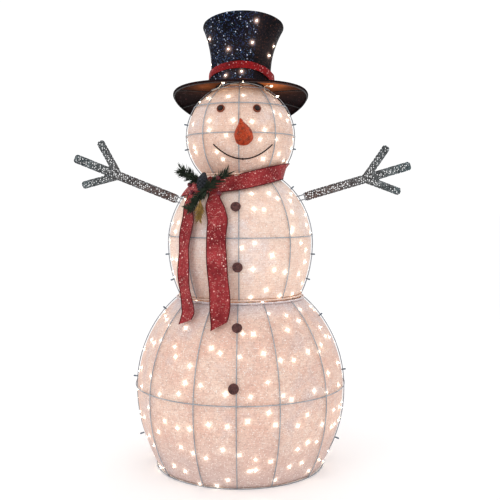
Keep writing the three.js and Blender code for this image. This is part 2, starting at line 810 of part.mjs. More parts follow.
function tail({ start, end, low, high, slant }) {
  const steps = 12;
  const strip = new THREE.BoxGeometry(ribbonWidth, ribbonThickness, 1, 1, 1, steps);
  const places = strip.attributes.position;
  const hang = (z) => {
    const overTorso = z > torsoBall.middle ? ballRadius(torsoBall, z) : torsoBall.radius;
    const overBase = z < baseBall.top ? ballRadius(baseBall, z) : 0;
    return Math.max(overTorso, overBase) + tailStand;
  };
  for (let i = 0; i < places.count; i += 1) {
    const share = places.getZ(i) + 0.5;
    const across = places.getX(i);
    const height = low + (high - low) * share + slant * (1 - share) * across / ribbonWidth;
    const azimuth = THREE.MathUtils.lerp(end, start, THREE.MathUtils.smoothstep(share, 0.75, 1));
    const out = outward(azimuth).multiplyScalar(hang(height) - places.getY(i));
    const sideways = outward(azimuth + 90).multiplyScalar(across);
    places.setXYZ(i, out.x + sideways.x, out.y + sideways.y, height);
  }
  return toSolid(strip);
}

const frontTail = { start: -24, end: -15.5, low: 494, high: 880, slant: 26 };
const sideTail = { start: -50, end: -44, low: 500, high: 880, slant: 14 };
addPiece(torso, 'scarf_tail_front', tail(frontTail), 'scarf');
addPiece(torso, 'scarf_tail_side', tail(sideTail), 'scarf');

// Trim at the knot: pine sprigs, a pine cone and berries.

const sprigSize = { stem: 3, needle: 1.3, needleLength: 24, needles: 7, lean: 50, spiral: 137.5 };

function sprig(start, end) {
  const direction = end.clone().sub(start);
  const length = direction.length();
  direction.normalize();
  const turn = new THREE.Quaternion().setFromUnitVectors(new THREE.Vector3(0, 0, 1), direction);
  const bits = [toSolid(rod(start, end, sprigSize.stem, 5))];
  for (let i = 0; i < sprigSize.needles; i += 1) {
    const needle = new THREE.ConeGeometry(sprigSize.needle, sprigSize.needleLength, 3);
    needle.translate(0, sprigSize.needleLength / 2, 0);
    needle.rotateX(radians(sprigSize.lean));
    needle.rotateZ(radians(sprigSize.spiral * i));
    needle.translate(0, 0, length * (0.15 + 0.75 * i / sprigSize.needles));
    needle.applyQuaternion(turn);
    needle.translate(start.x, start.y, start.z);
    bits.push(toSolid(needle));
  }
  return joined(bits);
}

const sprigs = [
  { name: 'pine_sprig_upper_left', start: [-138, -160, 940], end: [-188, -150, 984] },
  { name: 'pine_sprig_upper_right', start: [-82, -178, 944], end: [-22, -196, 976] },
  { name: 'pine_sprig_lower', start: [-118, -186, 900], end: [-134, -200, 832] },
];
for (const { name, start, end } of sprigs) {
  addPiece(torso, name, sprig(new THREE.Vector3(...start), new THREE.Vector3(...end)), 'needles');
}

const coneSize = { half: [17, 17, 30], tilt: 12, place: [-117, -192, 934] };
const coneBody = new THREE.SphereGeometry(1, 10, 8);
coneBody.scale(...coneSize.half);
coneBody.rotateY(radians(coneSize.tilt));
const cone = addPiece(torso, 'pinecone', toSolid(coneBody), 'cone');
cone.position.set(...coneSize.place);

const berryRadius = 8;
const berries = [[-156, -158, 926], [-150, -172, 902], [-66, -196, 946], [-62, -214, 898]];
berries.forEach(([x, y, z], i) => {
  const ball = new THREE.SphereGeometry(berryRadius, 8, 6);
  const piece = addPiece(torso, `berry_${i + 1}`, toSolid(ball), 'berry');
  piece.position.set(x, y, z);
});

export default snowman;
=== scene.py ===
import math

import bpy
import numpy as np
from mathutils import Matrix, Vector


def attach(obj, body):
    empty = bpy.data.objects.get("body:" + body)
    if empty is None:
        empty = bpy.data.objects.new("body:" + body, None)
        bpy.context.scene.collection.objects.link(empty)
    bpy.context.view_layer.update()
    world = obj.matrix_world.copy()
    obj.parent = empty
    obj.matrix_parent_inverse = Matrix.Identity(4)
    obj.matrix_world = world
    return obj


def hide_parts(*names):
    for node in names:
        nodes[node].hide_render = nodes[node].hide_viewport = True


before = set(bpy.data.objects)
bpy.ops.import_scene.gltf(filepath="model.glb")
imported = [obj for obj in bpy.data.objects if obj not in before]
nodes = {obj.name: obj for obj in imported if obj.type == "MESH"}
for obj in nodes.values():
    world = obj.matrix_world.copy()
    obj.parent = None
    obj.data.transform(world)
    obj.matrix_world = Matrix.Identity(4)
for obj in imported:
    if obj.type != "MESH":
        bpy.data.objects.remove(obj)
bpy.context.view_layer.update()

print("frame loaded:", len(nodes), "nodes")


# Camera: level, at the height of the snowman's shoulders.
view = {"place": (0.0325, -2.66, 0.87), "lens": 56.65, "shift": -0.095}
cameraData = bpy.data.cameras.new("camera")
cameraData.lens = view["lens"]
cameraData.sensor_width = 36
cameraData.shift_y = view["shift"]
camera = bpy.data.objects.new("camera", cameraData)
camera.location = view["place"]
camera.rotation_euler = (math.radians(90), 0, 0)
bpy.context.scene.collection.objects.link(camera)
bpy.context.scene.camera = camera


# Shape helpers. A shape is its points, its four-sided faces and its triangles.

def unit(v):
    return v / np.linalg.norm(v, axis=-1, keepdims=True)


def outward(azimuth):  # 0 is the front (-Y) and 90 is +X
    a = np.radians(np.asarray(azimuth, float))
    return np.stack([np.sin(a), -np.cos(a), np.zeros_like(a)], -1)


def ease(t, low=0.0, high=1.0):  # 0 below low, 1 above high, and a smooth step between
    t = np.clip((t - low) / (high - low), 0, 1)
    return t * t * (3 - 2 * t)


def gridQuads(rows, columns, loopRows=False, loopColumns=False):  # the cells of a grid of points, row by row
    r = np.arange(rows if loopRows else rows - 1)[:, None]
    c = np.arange(columns if loopColumns else columns - 1)[None]
    up, right = (r + 1) % rows, (c + 1) % columns
    return np.stack([r * columns + c, r * columns + right, up * columns + right, up * columns + c],
                    -1).reshape(-1, 4)


def gridUv(rows, columns, width, height, loopColumns=False):
    # corner places of the same cells, unrolled to metres
    across = columns if loopColumns else columns - 1
    r, c = np.meshgrid(np.arange(rows - 1), np.arange(across), indexing="ij")
    u = np.stack([c, c + 1, c + 1, c], -1) * width / across
    v = np.stack([r, r, r + 1, r + 1], -1) * height / (rows - 1)
    return np.stack([u, v], -1).reshape(-1, 2)


noTris = np.zeros((0, 3), int)


def endTris(count, sides):  # fans that close both ends of rings of points, whose two end middles come last
    j = np.arange(sides)
    nextJ, last = (j + 1) % sides, count - sides
    return np.concatenate([
        np.stack([np.full(sides, count), nextJ, j], -1),
        np.stack([np.full(sides, count + 1), last + j, last + nextJ], -1),
    ])


def tube(path, radius, sides=8, aim=(0, 0, 1), closed=False):
    # circles of the radius round the path, each square to it, with capped ends
    path = np.asarray(path, float)
    ahead = np.roll(path, -1, 0) - np.roll(path, 1, 0) if closed else np.gradient(path, axis=0)
    ahead = unit(ahead)
    aim = np.broadcast_to(np.asarray(aim, float), path.shape)
    side = unit(aim - (aim * ahead).sum(1, keepdims=True) * ahead)
    over = np.cross(ahead, side)
    turn = 2 * np.pi * np.arange(sides) / sides
    ring = np.cos(turn)[None, :, None] * side[:, None] + np.sin(turn)[None, :, None] * over[:, None]
    reach = np.broadcast_to(np.asarray(radius, float), len(path))[:, None, None]
    points = (path[:, None] + reach * ring).reshape(-1, 3)
    quads = gridQuads(len(path), sides, closed, True)
    if closed:
        return points, quads, noTris
    return np.concatenate([points, path[:1], path[-1:]]), quads, endTris(len(points), sides)


def turned(profile, sides):
    # a profile of radius and height spun about Z; its first and last points are the poles
    profile = np.asarray(profile, float)
    turn = 2 * np.pi * np.arange(sides) / sides
    r, h = profile[1:-1, 0, None], profile[1:-1, 1, None]
    rings = np.stack([r * np.cos(turn), r * np.sin(turn), h + 0 * turn], -1).reshape(-1, 3)
    poles = np.array([[0, 0, profile[0, 1]], [0, 0, profile[-1, 1]]])
    quads = gridQuads(len(profile) - 2, sides, False, True)
    return np.concatenate([rings, poles]), quads, endTris(len(rings), sides)


def joined(shapes):
    starts = np.cumsum([0] + [len(s[0]) for s in shapes])
    return tuple(np.concatenate([s[k] + (starts[i] if k else 0) for i,
                                 s in enumerate(shapes)]) for k in range(3))


def scattered(shape, places, up, size=1.0, hint=(0.31, 0.17, 0.93)):
    # one copy of a small shape for each place, with its own Z along up
    points, quads, tris = shape
    places, up = np.atleast_2d(places), unit(np.atleast_2d(up))
    side = unit(np.cross(np.broadcast_to(hint, up.shape), up))
    front = np.cross(up, side)
    size = np.broadcast_to(np.asarray(size, float), len(places))[:, None, None]
    axes = (side, front, up)
    local = sum(points[None, :, k:k + 1] * axes[k][:, None] for k in range(3))
    shift = (np.arange(len(places)) * len(points))[:, None, None]
    return (
        (places[:, None] + size * local).reshape(-1, 3),
        (quads[None] + shift).reshape(-1, 4),
        (tris[None] + shift).reshape(-1, 3),
    )


def newPiece(name, shape, material, body, stands=(), uv=None, fields=None):
    points, quads, tris = shape
    mesh = bpy.data.meshes.new(name)
    mesh.vertices.add(len(points))
    mesh.vertices.foreach_set("co", points.astype(np.float32).ravel())
    corners = np.concatenate([quads.ravel(), tris.ravel()]).astype(np.int32)
    mesh.loops.add(len(corners))
    mesh.loops.foreach_set("vertex_index", corners)
    starts = np.concatenate([np.arange(len(quads)) * 4, len(quads) * 4 + np.arange(len(tris)) * 3])
    mesh.polygons.add(len(starts))
    mesh.polygons.foreach_set("loop_start", starts.astype(np.int32))
    mesh.polygons.foreach_set("use_smooth", np.ones(len(starts), bool))
    mesh.update(calc_edges=True)
    layer = mesh.uv_layers.new(name="flat")
    spread = np.zeros((len(corners), 2), np.float32)
    if uv is not None:
        spread[:len(uv)] = uv
    layer.data.foreach_set("uv", spread.ravel())
    for label, values in (fields or {}).items():
        values = np.asarray(values, np.float32)
        kind, key = ("FLOAT", "value") if values.ndim == 1 else ("FLOAT_VECTOR", "vector")
        mesh.attributes.new(label, kind, "POINT").data.foreach_set(key, values.ravel())
    mesh.materials.append(material)
    piece = bpy.data.objects.new(name, mesh)
    bpy.context.scene.collection.objects.link(piece)
    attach(piece, body)
    if stands:
        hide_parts(*stands)
    return piece


def thicken(piece, thickness):
    walls = piece.modifiers.new("thickness", "SOLIDIFY")
    walls.thickness = thickness
    walls.offset = -1
    return piece


# Node helpers

def paint(red, green, blue):  # screen values to the linear colour that a shader takes
    s = [red / 255, green / 255, blue / 255]
    return (*[v / 12.92 if v <= 0.04045 else ((v + 0.055) / 1.055) ** 2.4 for v in s], 1.0)


def setInputs(tree, node, inputs):  # a socket is linked, and any other value is set
    for label, value in inputs.items():
        if isinstance(value, bpy.types.NodeSocket):
            tree.links.new(value, node.inputs[label])
        else:
            node.inputs[label].default_value = value
    return node


def put(tree, kind, inputs=None, **settings):
    node = tree.nodes.new("ShaderNode" + kind)
    for label, value in settings.items():
        setattr(node, label, value)
    return setInputs(tree, node, inputs or {})


def maths(tree, operation, a, b=0.0):
    return put(tree, "Math", {0: a, 1: b}, operation=operation).outputs[0]


def times(tree, a, b):
    return maths(tree, "MULTIPLY", a, b)


def spread(tree, value, low, high, toLow=0.0, toHigh=1.0):
    return put(tree, "MapRange", {0: value, 1: low, 2: high, 3: toLow, 4: toHigh}).outputs[0]


def mixed(tree, factor, a, b, blend="MIX"):
    return put(tree, "Mix", {0: factor, 6: a, 7: b}, data_type="RGBA", blend_type=blend).outputs[2]


def newGroup(name, inputs, outputs):
    group = bpy.data.node_groups.new(name, "ShaderNodeTree")
    for label, kind, value in inputs:
        socket = group.interface.new_socket(label, in_out="INPUT", socket_type="NodeSocket" + kind)
        if value is not None:
            socket.default_value = value
    for label, kind in outputs:
        group.interface.new_socket(label, in_out="OUTPUT", socket_type="NodeSocket" + kind)
    return group, group.nodes.new("NodeGroupInput").outputs, group.nodes.new("NodeGroupOutput").inputs


def use(tree, group, inputs):
    node = tree.nodes.new("ShaderNodeGroup")
    node.node_tree = group
    return setInputs(tree, node, inputs).outputs


def newMaterial(name, **constants):
    material = bpy.data.materials.new(name)
    material.use_nodes = True
    tree = material.node_tree
    shader = tree.nodes["Principled BSDF"]
    for label, value in constants.items():
        shader.inputs[label.replace("_", " ")].default_value = value
    return material, tree, shader


def feed(tree, shader, **sockets):
    for label, socket in sockets.items():
        tree.links.new(socket, shader.inputs[label.replace("_", " ")])


def bump(tree, height, distance, strength=1.0):
    return put(tree, "Bump", {"Height": height, "Distance": distance, "Strength": strength}).outputs[0]


# Effects that several materials use

# Drift: a coarse and a fine noise, mixed and stretched to run from 0 to 1.
drift, given, gives = newGroup(
    "drift",
    [("Vector", "Vector", None), ("Coarse", "Float", 8.0), ("Fine", "Float", 60.0), ("Share", "Float", 0.4)],
    [("Value", "Float")],
)
coarseNoise = put(drift, "TexNoise", {"Vector": given["Vector"], "Scale": given["Coarse"], "Detail": 2.0})
fineNoise = put(drift, "TexNoise", {"Vector": given["Vector"], "Scale": given["Fine"], "Detail": 3.0})
both = put(drift, "Mix", {0: given["Share"], 2: coarseNoise.outputs[0], 3: fineNoise.outputs[0]}).outputs[0]
drift.links.new(spread(drift, both, 0.34, 0.66), gives["Value"])

# Glitter: random cells, of which a share shine, each round and with its own brightness and tint.
glitter, given, gives = newGroup(
    "glitter",
    [("Vector", "Vector", None), ("Scale", "Float", 300.0), ("Share", "Float", 0.1)],
    [("Mask", "Float"), ("Tint", "Color")],
)
cells = put(glitter, "TexVoronoi", {"Vector": given["Vector"], "Scale": given["Scale"]})
random = put(glitter, "SeparateColor", {"Color": cells.outputs["Color"]})
shines = maths(glitter, "LESS_THAN", random.outputs[0], given["Share"])
roundness = spread(glitter, cells.outputs["Distance"], 0.2, 0.5, 1.0, 0.0)
strength = spread(glitter, random.outputs[1], 0.0, 1.0, 0.25, 1.0)
glitter.links.new(times(glitter, times(glitter, shines, roundness), strength), gives["Mask"])
glitter.links.new(cells.outputs["Color"], gives["Tint"])

# Weave: crossing threads, high where a thread lies on top, from the flat map in metres.
weave, given, gives = newGroup(
    "weave",
    [("Vector", "Vector", None), ("Threads", "Float", 500.0), ("Rows", "Float", 500.0)],
    [("Height", "Float"), ("Lines", "Float")],
)
flatPlace = put(weave, "SeparateXYZ", {0: given["Vector"]})
alongWave = maths(weave, "SINE", times(weave, flatPlace.outputs[0], times(weave, given["Threads"], 6.2832)))
rowWave = maths(weave, "SINE", times(weave, flatPlace.outputs[1], times(weave, given["Rows"], 6.2832)))
weave.links.new(spread(weave, times(weave, alongWave, rowWave), -1.0, 1.0), gives["Height"])
weave.links.new(spread(weave, rowWave, -1.0, 1.0), gives["Lines"])


# Painted star glint: a bright middle and four short rays painted round a bulb, from the offset to the nearest
# one.
paintedStarGlint, given, gives = newGroup("paintedStarGlint", [("Offset", "Vector", None), ("Near", "Float", 0.0)],
                               [("Value", "Float")])
away = put(paintedStarGlint, "SeparateXYZ", {0: given["Offset"]})
level = put(paintedStarGlint, "CombineXYZ", {0: away.outputs[0], 1: away.outputs[1]}).outputs[0]
reach = put(paintedStarGlint, "VectorMath", {0: level}, operation="LENGTH").outputs["Value"]
turning = maths(paintedStarGlint, "ARCTAN2", away.outputs[1], away.outputs[0])
rays = maths(paintedStarGlint, "COSINE", maths(paintedStarGlint, "ADD", times(paintedStarGlint, turning, 2.0), away.outputs[2]))
rays = maths(paintedStarGlint, "POWER", maths(paintedStarGlint, "ABSOLUTE", rays), 7.0)
rays = times(paintedStarGlint, rays, maths(paintedStarGlint, "EXPONENT", times(paintedStarGlint, reach, -170.0)))
heart = maths(paintedStarGlint, "EXPONENT", times(paintedStarGlint, times(paintedStarGlint, reach, reach), -42000.0))
star = maths(paintedStarGlint, "ADD", times(paintedStarGlint, rays, 1.6), heart)
paintedStarGlint.links.new(times(paintedStarGlint, star, spread(paintedStarGlint, given["Near"], 0.10, 0.45)), gives["Value"])


def drifted(tree, at, coarse, fine, share):
    return use(tree, drift, {"Vector": at, "Coarse": coarse, "Fine": fine, "Share": share})["Value"]


def flecks(tree, at, scale, share):
    return use(tree, glitter, {"Vector": at, "Scale": scale, "Share": share})


def field(tree, name, kind="Fac"):  # a value stored on the mesh
    return put(tree, "Attribute", None, attribute_name=name).outputs[kind]


def places(tree):
    return put(tree, "TexCoord").outputs["Object"]


def flatMap(tree):
    return put(tree, "UVMap", None, uv_map="flat").outputs[0]


# Materials

def clothMaterial(name, tones, glowTint):
    # three tones drift into each other, fibres run level, and flakes are darker or brighter than the cloth;
    # the dark ones are painted shadow, the bright ones painted glints, and the bulbs' light on the cloth is
    # painted as emission
    material, tree, shader = newMaterial(name, Specular_IOR_Level=0.3, Emission_Strength=1.0)
    at, flat = places(tree), flatMap(tree)
    broad = drifted(tree, at, 9.0, 42.0, 0.45)
    small = drifted(tree, at, 95.0, 240.0, 0.6)
    moved = put(tree, "Mapping", {"Vector": at, "Location": (3.1, 1.7, 5.3)}).outputs[0]
    cool = drifted(tree, moved, 6.0, 30.0, 0.35)
    cloth = mixed(tree, broad, tones["cream"], tones["pink"])
    cloth = mixed(tree, spread(tree, cool, 0.45, 0.95, 0.0, 0.85), cloth, tones["grey"])
    height = put(tree, "SeparateXYZ", {0: at}).outputs[2]
    cloth = mixed(tree, spread(tree, height, tones["lowTop"], tones["lowTop"] - 0.16, 0.0, 0.7), cloth,
                  tones["low"])
    # Towards each ball's top the cloth turns to its top tone; on the base this is painted shade, where the
    # torso shades the base's top.
    cloth = mixed(tree, spread(tree, height, tones["brow"] - 0.05, tones["brow"], 0.0, 0.75), cloth,
                  tones["top"])
    fibreAt = put(tree, "Mapping", {"Vector": at, "Scale": (1.0, 1.0, 5.5)}).outputs[0]
    fibres = drifted(tree, fibreAt, 26.0, 62.0, 0.55)
    cloth = mixed(tree, spread(tree, fibres, 0.45, 1.0, 0.0, 0.42), cloth, tones["shade"])
    cloth = mixed(tree, spread(tree, small, 0.35, 1.0, 0.0, 0.5), cloth, tones["shade"])
    threads = use(tree, weave, {"Vector": flat, "Threads": 420.0, "Rows": 150.0})
    cloth = mixed(tree, spread(tree, threads["Lines"], 0.0, 0.5, 0.16, 0.0), cloth, tones["shade"])
    # Dark flecks are painted as the glitter's small shadows; bright flecks are glitter painted near-white, as
    # its glints.
    dark = flecks(tree, at, 215.0, 0.24)["Mask"]
    cloth = mixed(tree, times(tree, dark, 0.55), cloth, tones["dark"])
    flakes = flecks(tree, at, 250.0, 0.34)
    cloth = mixed(tree, times(tree, flakes["Mask"], 0.95), cloth, (1.0, 0.98, 0.95, 1.0))
    # Painted bulb light on the cloth, as emission: a warm halo summed over the bulbs, a soft bell round the
    # nearest bulb and a painted star glint at its middle.
    near = field(tree, "glow")
    halo = field(tree, "halo")
    offset = field(tree, "toBulb", "Vector")
    star = use(tree, paintedStarGlint, {"Offset": offset, "Near": near})["Value"]
    patchy = spread(tree, small, 0.0, 1.0, 1.3, 0.6)
    lit = mixed(tree, 1.0, times(tree, halo, patchy), glowTint, "MULTIPLY")
    soft = mixed(tree, 1.0, times(tree, near, tones["soft"]), (1.0, 0.86, 0.68, 1.0), "MULTIPLY")
    core = mixed(tree, 1.0, star, (1.0, 0.95, 0.84, 1.0), "MULTIPLY")
    emitted = mixed(tree, 1.0, mixed(tree, 1.0, lit, soft, "ADD"), core, "ADD")
    rough = spread(tree, flakes["Mask"], 0.0, 1.0, 0.7, 0.25)
    relief = maths(tree, "ADD", threads["Height"], times(tree, flakes["Mask"], 1.5))
    feed(tree, shader, Base_Color=cloth, Emission_Color=emitted, Roughness=rough,
         Normal=bump(tree, relief, 0.0006, 0.6))
    return material


def enamelMaterial(name, light, dark, rough=0.35, metal=0.2):
    # enamel that dulls and darkens in patches
    material, tree, shader = newMaterial(name, Metallic=metal)
    patch = drifted(tree, places(tree), 25.0, 220.0, 0.5)
    colour = mixed(tree, patch, light, dark)
    feed(tree, shader, Base_Color=colour, Roughness=spread(tree, patch, 0.0, 1.0, rough, rough + 0.2),
         Normal=bump(tree, patch, 0.0003, 0.4))
    return material


def glitterFabric(name, look):
    # dark or coloured cloth covered in flakes of two sizes, with faint threads; one side is in painted shade,
    # with fewer, bronze flakes; painted bulb glow and painted glints are emitted
    material, tree, shader = newMaterial(name, Specular_IOR_Level=look["specular"], Emission_Strength=1.0)
    at, flat = places(tree), flatMap(tree)
    broad = drifted(tree, at, 14.0, 70.0, 0.4)
    cloth = mixed(tree, broad, look["deep"], look["light"])
    threads = use(tree, weave, {"Vector": flat, "Threads": look["threads"], "Rows": look["threads"]})
    cloth = mixed(tree, spread(tree, threads["Height"], 0.2, 0.8, look["threadShade"], 0.0), cloth,
                  look["deep"])
    # One side of the crown is in painted shade: there the flakes are fewer and take a bronze tone.
    shadedSide = field(tree, "shadedSide")
    fewerInShade = spread(tree, shadedSide, 0.0, 1.0, 1.0, 0.3)
    small = flecks(tree, at, look["flakes"], look["share"])
    large = flecks(tree, at, look["flakes"] * 0.7, look["share"] * 0.22)
    tinted = mixed(tree, look["tintShare"], look["flake"], small["Tint"], "MULTIPLY")
    tinted = mixed(tree, shadedSide, tinted, look["shadeTone"])
    cloth = mixed(tree, times(tree, small["Mask"], fewerInShade), cloth, tinted)
    # Large flakes are painted near-white, as glints.
    bright = mixed(tree, shadedSide, look["bright"], look["shadeTone"])
    cloth = mixed(tree, times(tree, large["Mask"], fewerInShade), cloth, bright)
    shine = maths(tree, "MAXIMUM", small["Mask"], large["Mask"])
    # Painted light, as emission: a streaky warm glow of the bulbs behind the fabric, and painted glints of
    # the large flakes.
    glow = field(tree, "glow")
    rayAt = put(tree, "Mapping", {"Vector": flat, "Scale": (7.0, 0.6, 1.0)}).outputs[0]
    streaks = drifted(tree, rayAt, 16.0, 60.0, 0.5)
    patchy = times(tree, glow, spread(tree, streaks, 0.0, 1.0, 0.45, 1.6))
    halo = mixed(tree, 1.0, patchy, look["glowTint"], "MULTIPLY")
    sparkle = mixed(tree, 1.0, times(tree, large["Mask"], look["sparkle"]), bright, "MULTIPLY")
    feed(tree, shader, Base_Color=cloth, Roughness=spread(tree, shine, 0.0, 1.0, look["rough"], 0.25),
         Emission_Color=mixed(tree, 1.0, halo, sparkle, "ADD"),
         Normal=bump(tree, maths(tree, "ADD", threads["Height"], shine), 0.0007, 0.7))
    return material


def plainMaterial(name, light, dark, coarse, fine, rough, relief, **constants):
    # two tones that drift, with a grain of the same pattern
    material, tree, shader = newMaterial(name, **constants)
    patch = drifted(tree, places(tree), coarse, fine, 0.5)
    feed(tree, shader, Base_Color=mixed(tree, patch, light, dark),
         Roughness=spread(tree, patch, 0.0, 1.0, rough, rough + 0.15), Normal=bump(tree, patch, relief, 0.8))
    return material


clothTones = {
    "base": {"cream": paint(240, 214, 198), "pink": paint(226, 184, 168), "grey": paint(208, 192, 192),
             "soft": 0.34,
             # On the base the top tone is painted shade under the torso.
             "low": paint(198, 182, 182), "top": paint(206, 208, 218), "shade": paint(190, 150, 136),
             "dark": paint(142, 112, 104), "lowTop": 0.19, "brow": 0.555},
    "torso": {"cream": paint(246, 226, 212), "pink": paint(236, 202, 186), "grey": paint(226, 214, 214),
              "soft": 0.42,
              "low": paint(236, 204, 186), "top": paint(244, 228, 216), "shade": paint(206, 170, 152),
              "dark": paint(160, 132, 122), "lowTop": 0.66, "brow": 0.96},
    "head": {"cream": paint(238, 212, 196), "pink": paint(226, 190, 172), "grey": paint(214, 200, 200),
             "soft": 0.38,
             "low": paint(232, 190, 168), "top": paint(246, 206, 158), "shade": paint(192, 154, 138),
             "dark": paint(146, 114, 102), "lowTop": 1.05, "brow": 1.262},
}
warmGlow = (1.0, 0.62, 0.36, 1.0)
clothMaterials = {k: clothMaterial(k + "Cloth", v, warmGlow) for k, v in clothTones.items()}
wireMaterial = enamelMaterial("wireEnamel", paint(176, 180, 186), paint(126, 132, 140))
clipMaterial = enamelMaterial("cordClips", paint(112, 128, 142), paint(70, 82, 96), 0.4, 0.0)
tubeMaterial = enamelMaterial("socketZinc", paint(170, 172, 176), paint(120, 122, 128), 0.3, 0.7)
blackWire = enamelMaterial("blackWire", paint(34, 32, 36), paint(16, 15, 18), 0.4, 0.1)
cordMaterial = plainMaterial("lightCord", paint(236, 230, 216), paint(214, 206, 190), 30.0, 300.0, 0.4,
                             0.0002)
holderMaterial = plainMaterial("bulbHolder", paint(196, 200, 200), paint(150, 156, 160), 60.0, 400.0, 0.35,
                               0.0002)
connectorMaterial = plainMaterial("connector", paint(228, 224, 214), paint(208, 203, 190), 60.0, 500.0, 0.4,
                                  0.0002)

bulbMaterial, bulbTree, bulbShader = newMaterial("bulbGlass", Roughness=0.15, Emission_Strength=9.0)
bulbPatch = drifted(bulbTree, places(bulbTree), 40.0, 200.0, 0.3)
feed(bulbTree, bulbShader,
     Base_Color=mixed(bulbTree, bulbPatch, (1.0, 0.95, 0.85, 1.0), (1.0, 0.9, 0.75, 1.0)),
     Emission_Color=mixed(bulbTree, bulbPatch, (1.0, 0.88, 0.66, 1.0), (1.0, 0.8, 0.52, 1.0)))
print("materials ready")


# The three balls, as their wires' outside: a squashed sphere with its widest place at the middle height.
balls = {
    "base": {"radius": 0.351, "middle": 0.250, "below": 0.412, "above": 0.385,
             "ribs": [0, 21.8, 51.8, 90, 128.2, 158.2, 180, 201.8, 231.8, 270, 308.2, 338.2], "turn": -1.3,
             "rings": [0.0025, 0.270, 0.5545], "cloth": (0.001, 0.5545), "sag": 0.0045},
    "torso": {"radius": 0.245, "middle": 0.735, "below": 0.320, "above": 0.262,
              "ribs": [0, 41.5, 90, 138.5, 180, 221.5, 270, 318.5], "turn": -0.5,
              "rings": [0.5625, 0.760, 0.9555], "cloth": (0.5625, 0.9555), "sag": 0.0040},
    "head": {"radius": 0.185, "middle": 1.092, "below": 0.185, "above": 0.185,
             "ribs": [0, 39.5, 90, 140.5, 180, 219.5, 270, 320.5], "turn": -1.0,
             "rings": [0.9635, 1.092, 1.189, 1.247], "cloth": (0.9635, 1.277), "sag": 0.0035},
}
wire = {"radius": 0.0017, "clothBehind": 0.0056, "clothThickness": 0.001, "cordBehind": 0.021,
        "cordRadius": 0.0015}


def ballRadius(ball, z, depth=0.0):
    z = np.asarray(z, float)
    reach = np.where(z < ball["middle"], ball["below"], ball["above"]) - depth
    return (ball["radius"] - depth) * np.sqrt(np.clip(1 - ((z - ball["middle"]) / reach) ** 2, 0, 1))


def latitude(ball, z, depth=0.0):
    reach = (ball["below"] if z < ball["middle"] else ball["above"]) - depth
    return math.asin(max(-1.0, min(1.0, (z - ball["middle"]) / reach)))


def ballPoint(ball, azimuth, lat, depth=0.0):
    reach = np.where(lat < 0, ball["below"], ball["above"]) - depth
    place = outward(azimuth) * ((ball["radius"] - depth) * np.cos(lat))[..., None]
    place[..., 2] = ball["middle"] + reach * np.sin(lat)
    return place


def ballNormal(ball, place):
    half = np.where(place[..., 2] < ball["middle"], ball["below"], ball["above"])
    scale = np.stack([np.full_like(half, ball["radius"]), np.full_like(half, ball["radius"]), half], -1)
    return unit((place - [0, 0, ball["middle"]]) / scale ** 2)


# Bulbs follow the loops of each string, moved at random, clear of the wires and of what lies on the ball.
strings = {
    "base": {"loops": [0.040, 0.130, 0.220, 0.310, 0.400, 0.485], "count": 38, "low": 0.014, "high": 0.528,
             "seed": 11},
    "torso": {"loops": [0.600, 0.676, 0.740, 0.815, 0.880], "count": 24, "low": 0.578, "high": 0.893,
              "seed": 23},
    "head": {"loops": [1.026, 1.065, 1.115, 1.180], "count": 15, "low": 1.012, "high": 1.232, "seed": 37},
}
bulb = {"sideJitter": 0.40, "heightJitter": 0.036, "depth": 0.0175, "clear": 0.009}
buttons = [
    ("button_1", "torso", -0.012, 0.856), ("button_2", "torso", -0.006, 0.671),
    ("button_3", "base", -0.007, 0.488), ("button_4", "base", -0.016, 0.321),
]
eyes = [("eye_left", "head", -0.060, 1.169), ("eye_right", "head", 0.054, 1.169)]
smile = {"middle": 0.010, "halfWidth": 0.094, "low": 1.008, "rise": 0.047, "reach": 0.1876}
tails = {
    "front": {"start": -24, "end": -15.3, "low": 0.494, "high": 0.905, "slant": 0.026, "swing": 1.0,
              "phase": 0.4, "turn": 1.0, "pinch": 0.26},
    "side": {"start": -50, "end": -42.4, "low": 0.500, "high": 0.905, "slant": 0.017, "swing": 3.4,
             "phase": 2.1, "turn": 0.84, "pinch": 0.22},
}


# Where the balls have no bulbs: behind the scarf and the trim, at the arms' sockets, and round the nose.
behindScarf = {"turn": (-60, -5), "height": (0.478, 0.95)}
atArms = {"turn": 90, "half": 9, "height": (0.85, 0.92)}
noseClear = {"place": (0.012, -0.184, 1.085), "reach": 0.042}
discClear, smileClear = 0.027, 0.011


def smilePath(count):
    share = np.linspace(-1, 1, count)
    x = smile["middle"] + smile["halfWidth"] * share
    z = smile["low"] + smile["rise"] * share ** 2
    return np.stack([x, -np.sqrt(smile["reach"] ** 2 - (z - balls["head"]["middle"]) ** 2 - x ** 2), z], -1)


def frontPoint(ball, x, z, depth=0.0):
    return np.array([x, -math.sqrt(float(ballRadius(ball, z, depth)) ** 2 - x * x), z])


def between(values, ends):
    return (values > ends[0]) & (values < ends[1])


def bulbFeet(name):
    # azimuth and height of every bulb along the string, in the order of the cord
    ball, string = balls[name], strings[name]
    rng = np.random.default_rng(string["seed"])
    count, loops = string["count"], len(string["loops"])
    step = 360 / count
    azimuth = 168 + step * (np.arange(count * loops) + 0.5 + rng.uniform(-1, 1, count * loops)
                            * bulb["sideJitter"])
    z = np.repeat(string["loops"], count) + rng.uniform(-1, 1, count * loops) * bulb["heightJitter"]
    for ring in ball["rings"]:
        z = np.where(np.abs(z - ring) < bulb["clear"], ring + np.where(z < ring, -1, 1) * bulb["clear"], z)
    z = np.clip(z, string["low"], string["high"])
    ribs = np.array(ball["ribs"]) + ball["turn"]
    offs = (azimuth[:, None] - ribs[None] + 180) % 360 - 180
    off = offs[np.arange(len(azimuth)), np.abs(offs).argmin(1)]
    least = np.degrees(bulb["clear"] / ballRadius(ball, z))
    return azimuth + np.where(np.abs(off) < least, np.where(off < 0, -1, 1) * least - off, 0), z


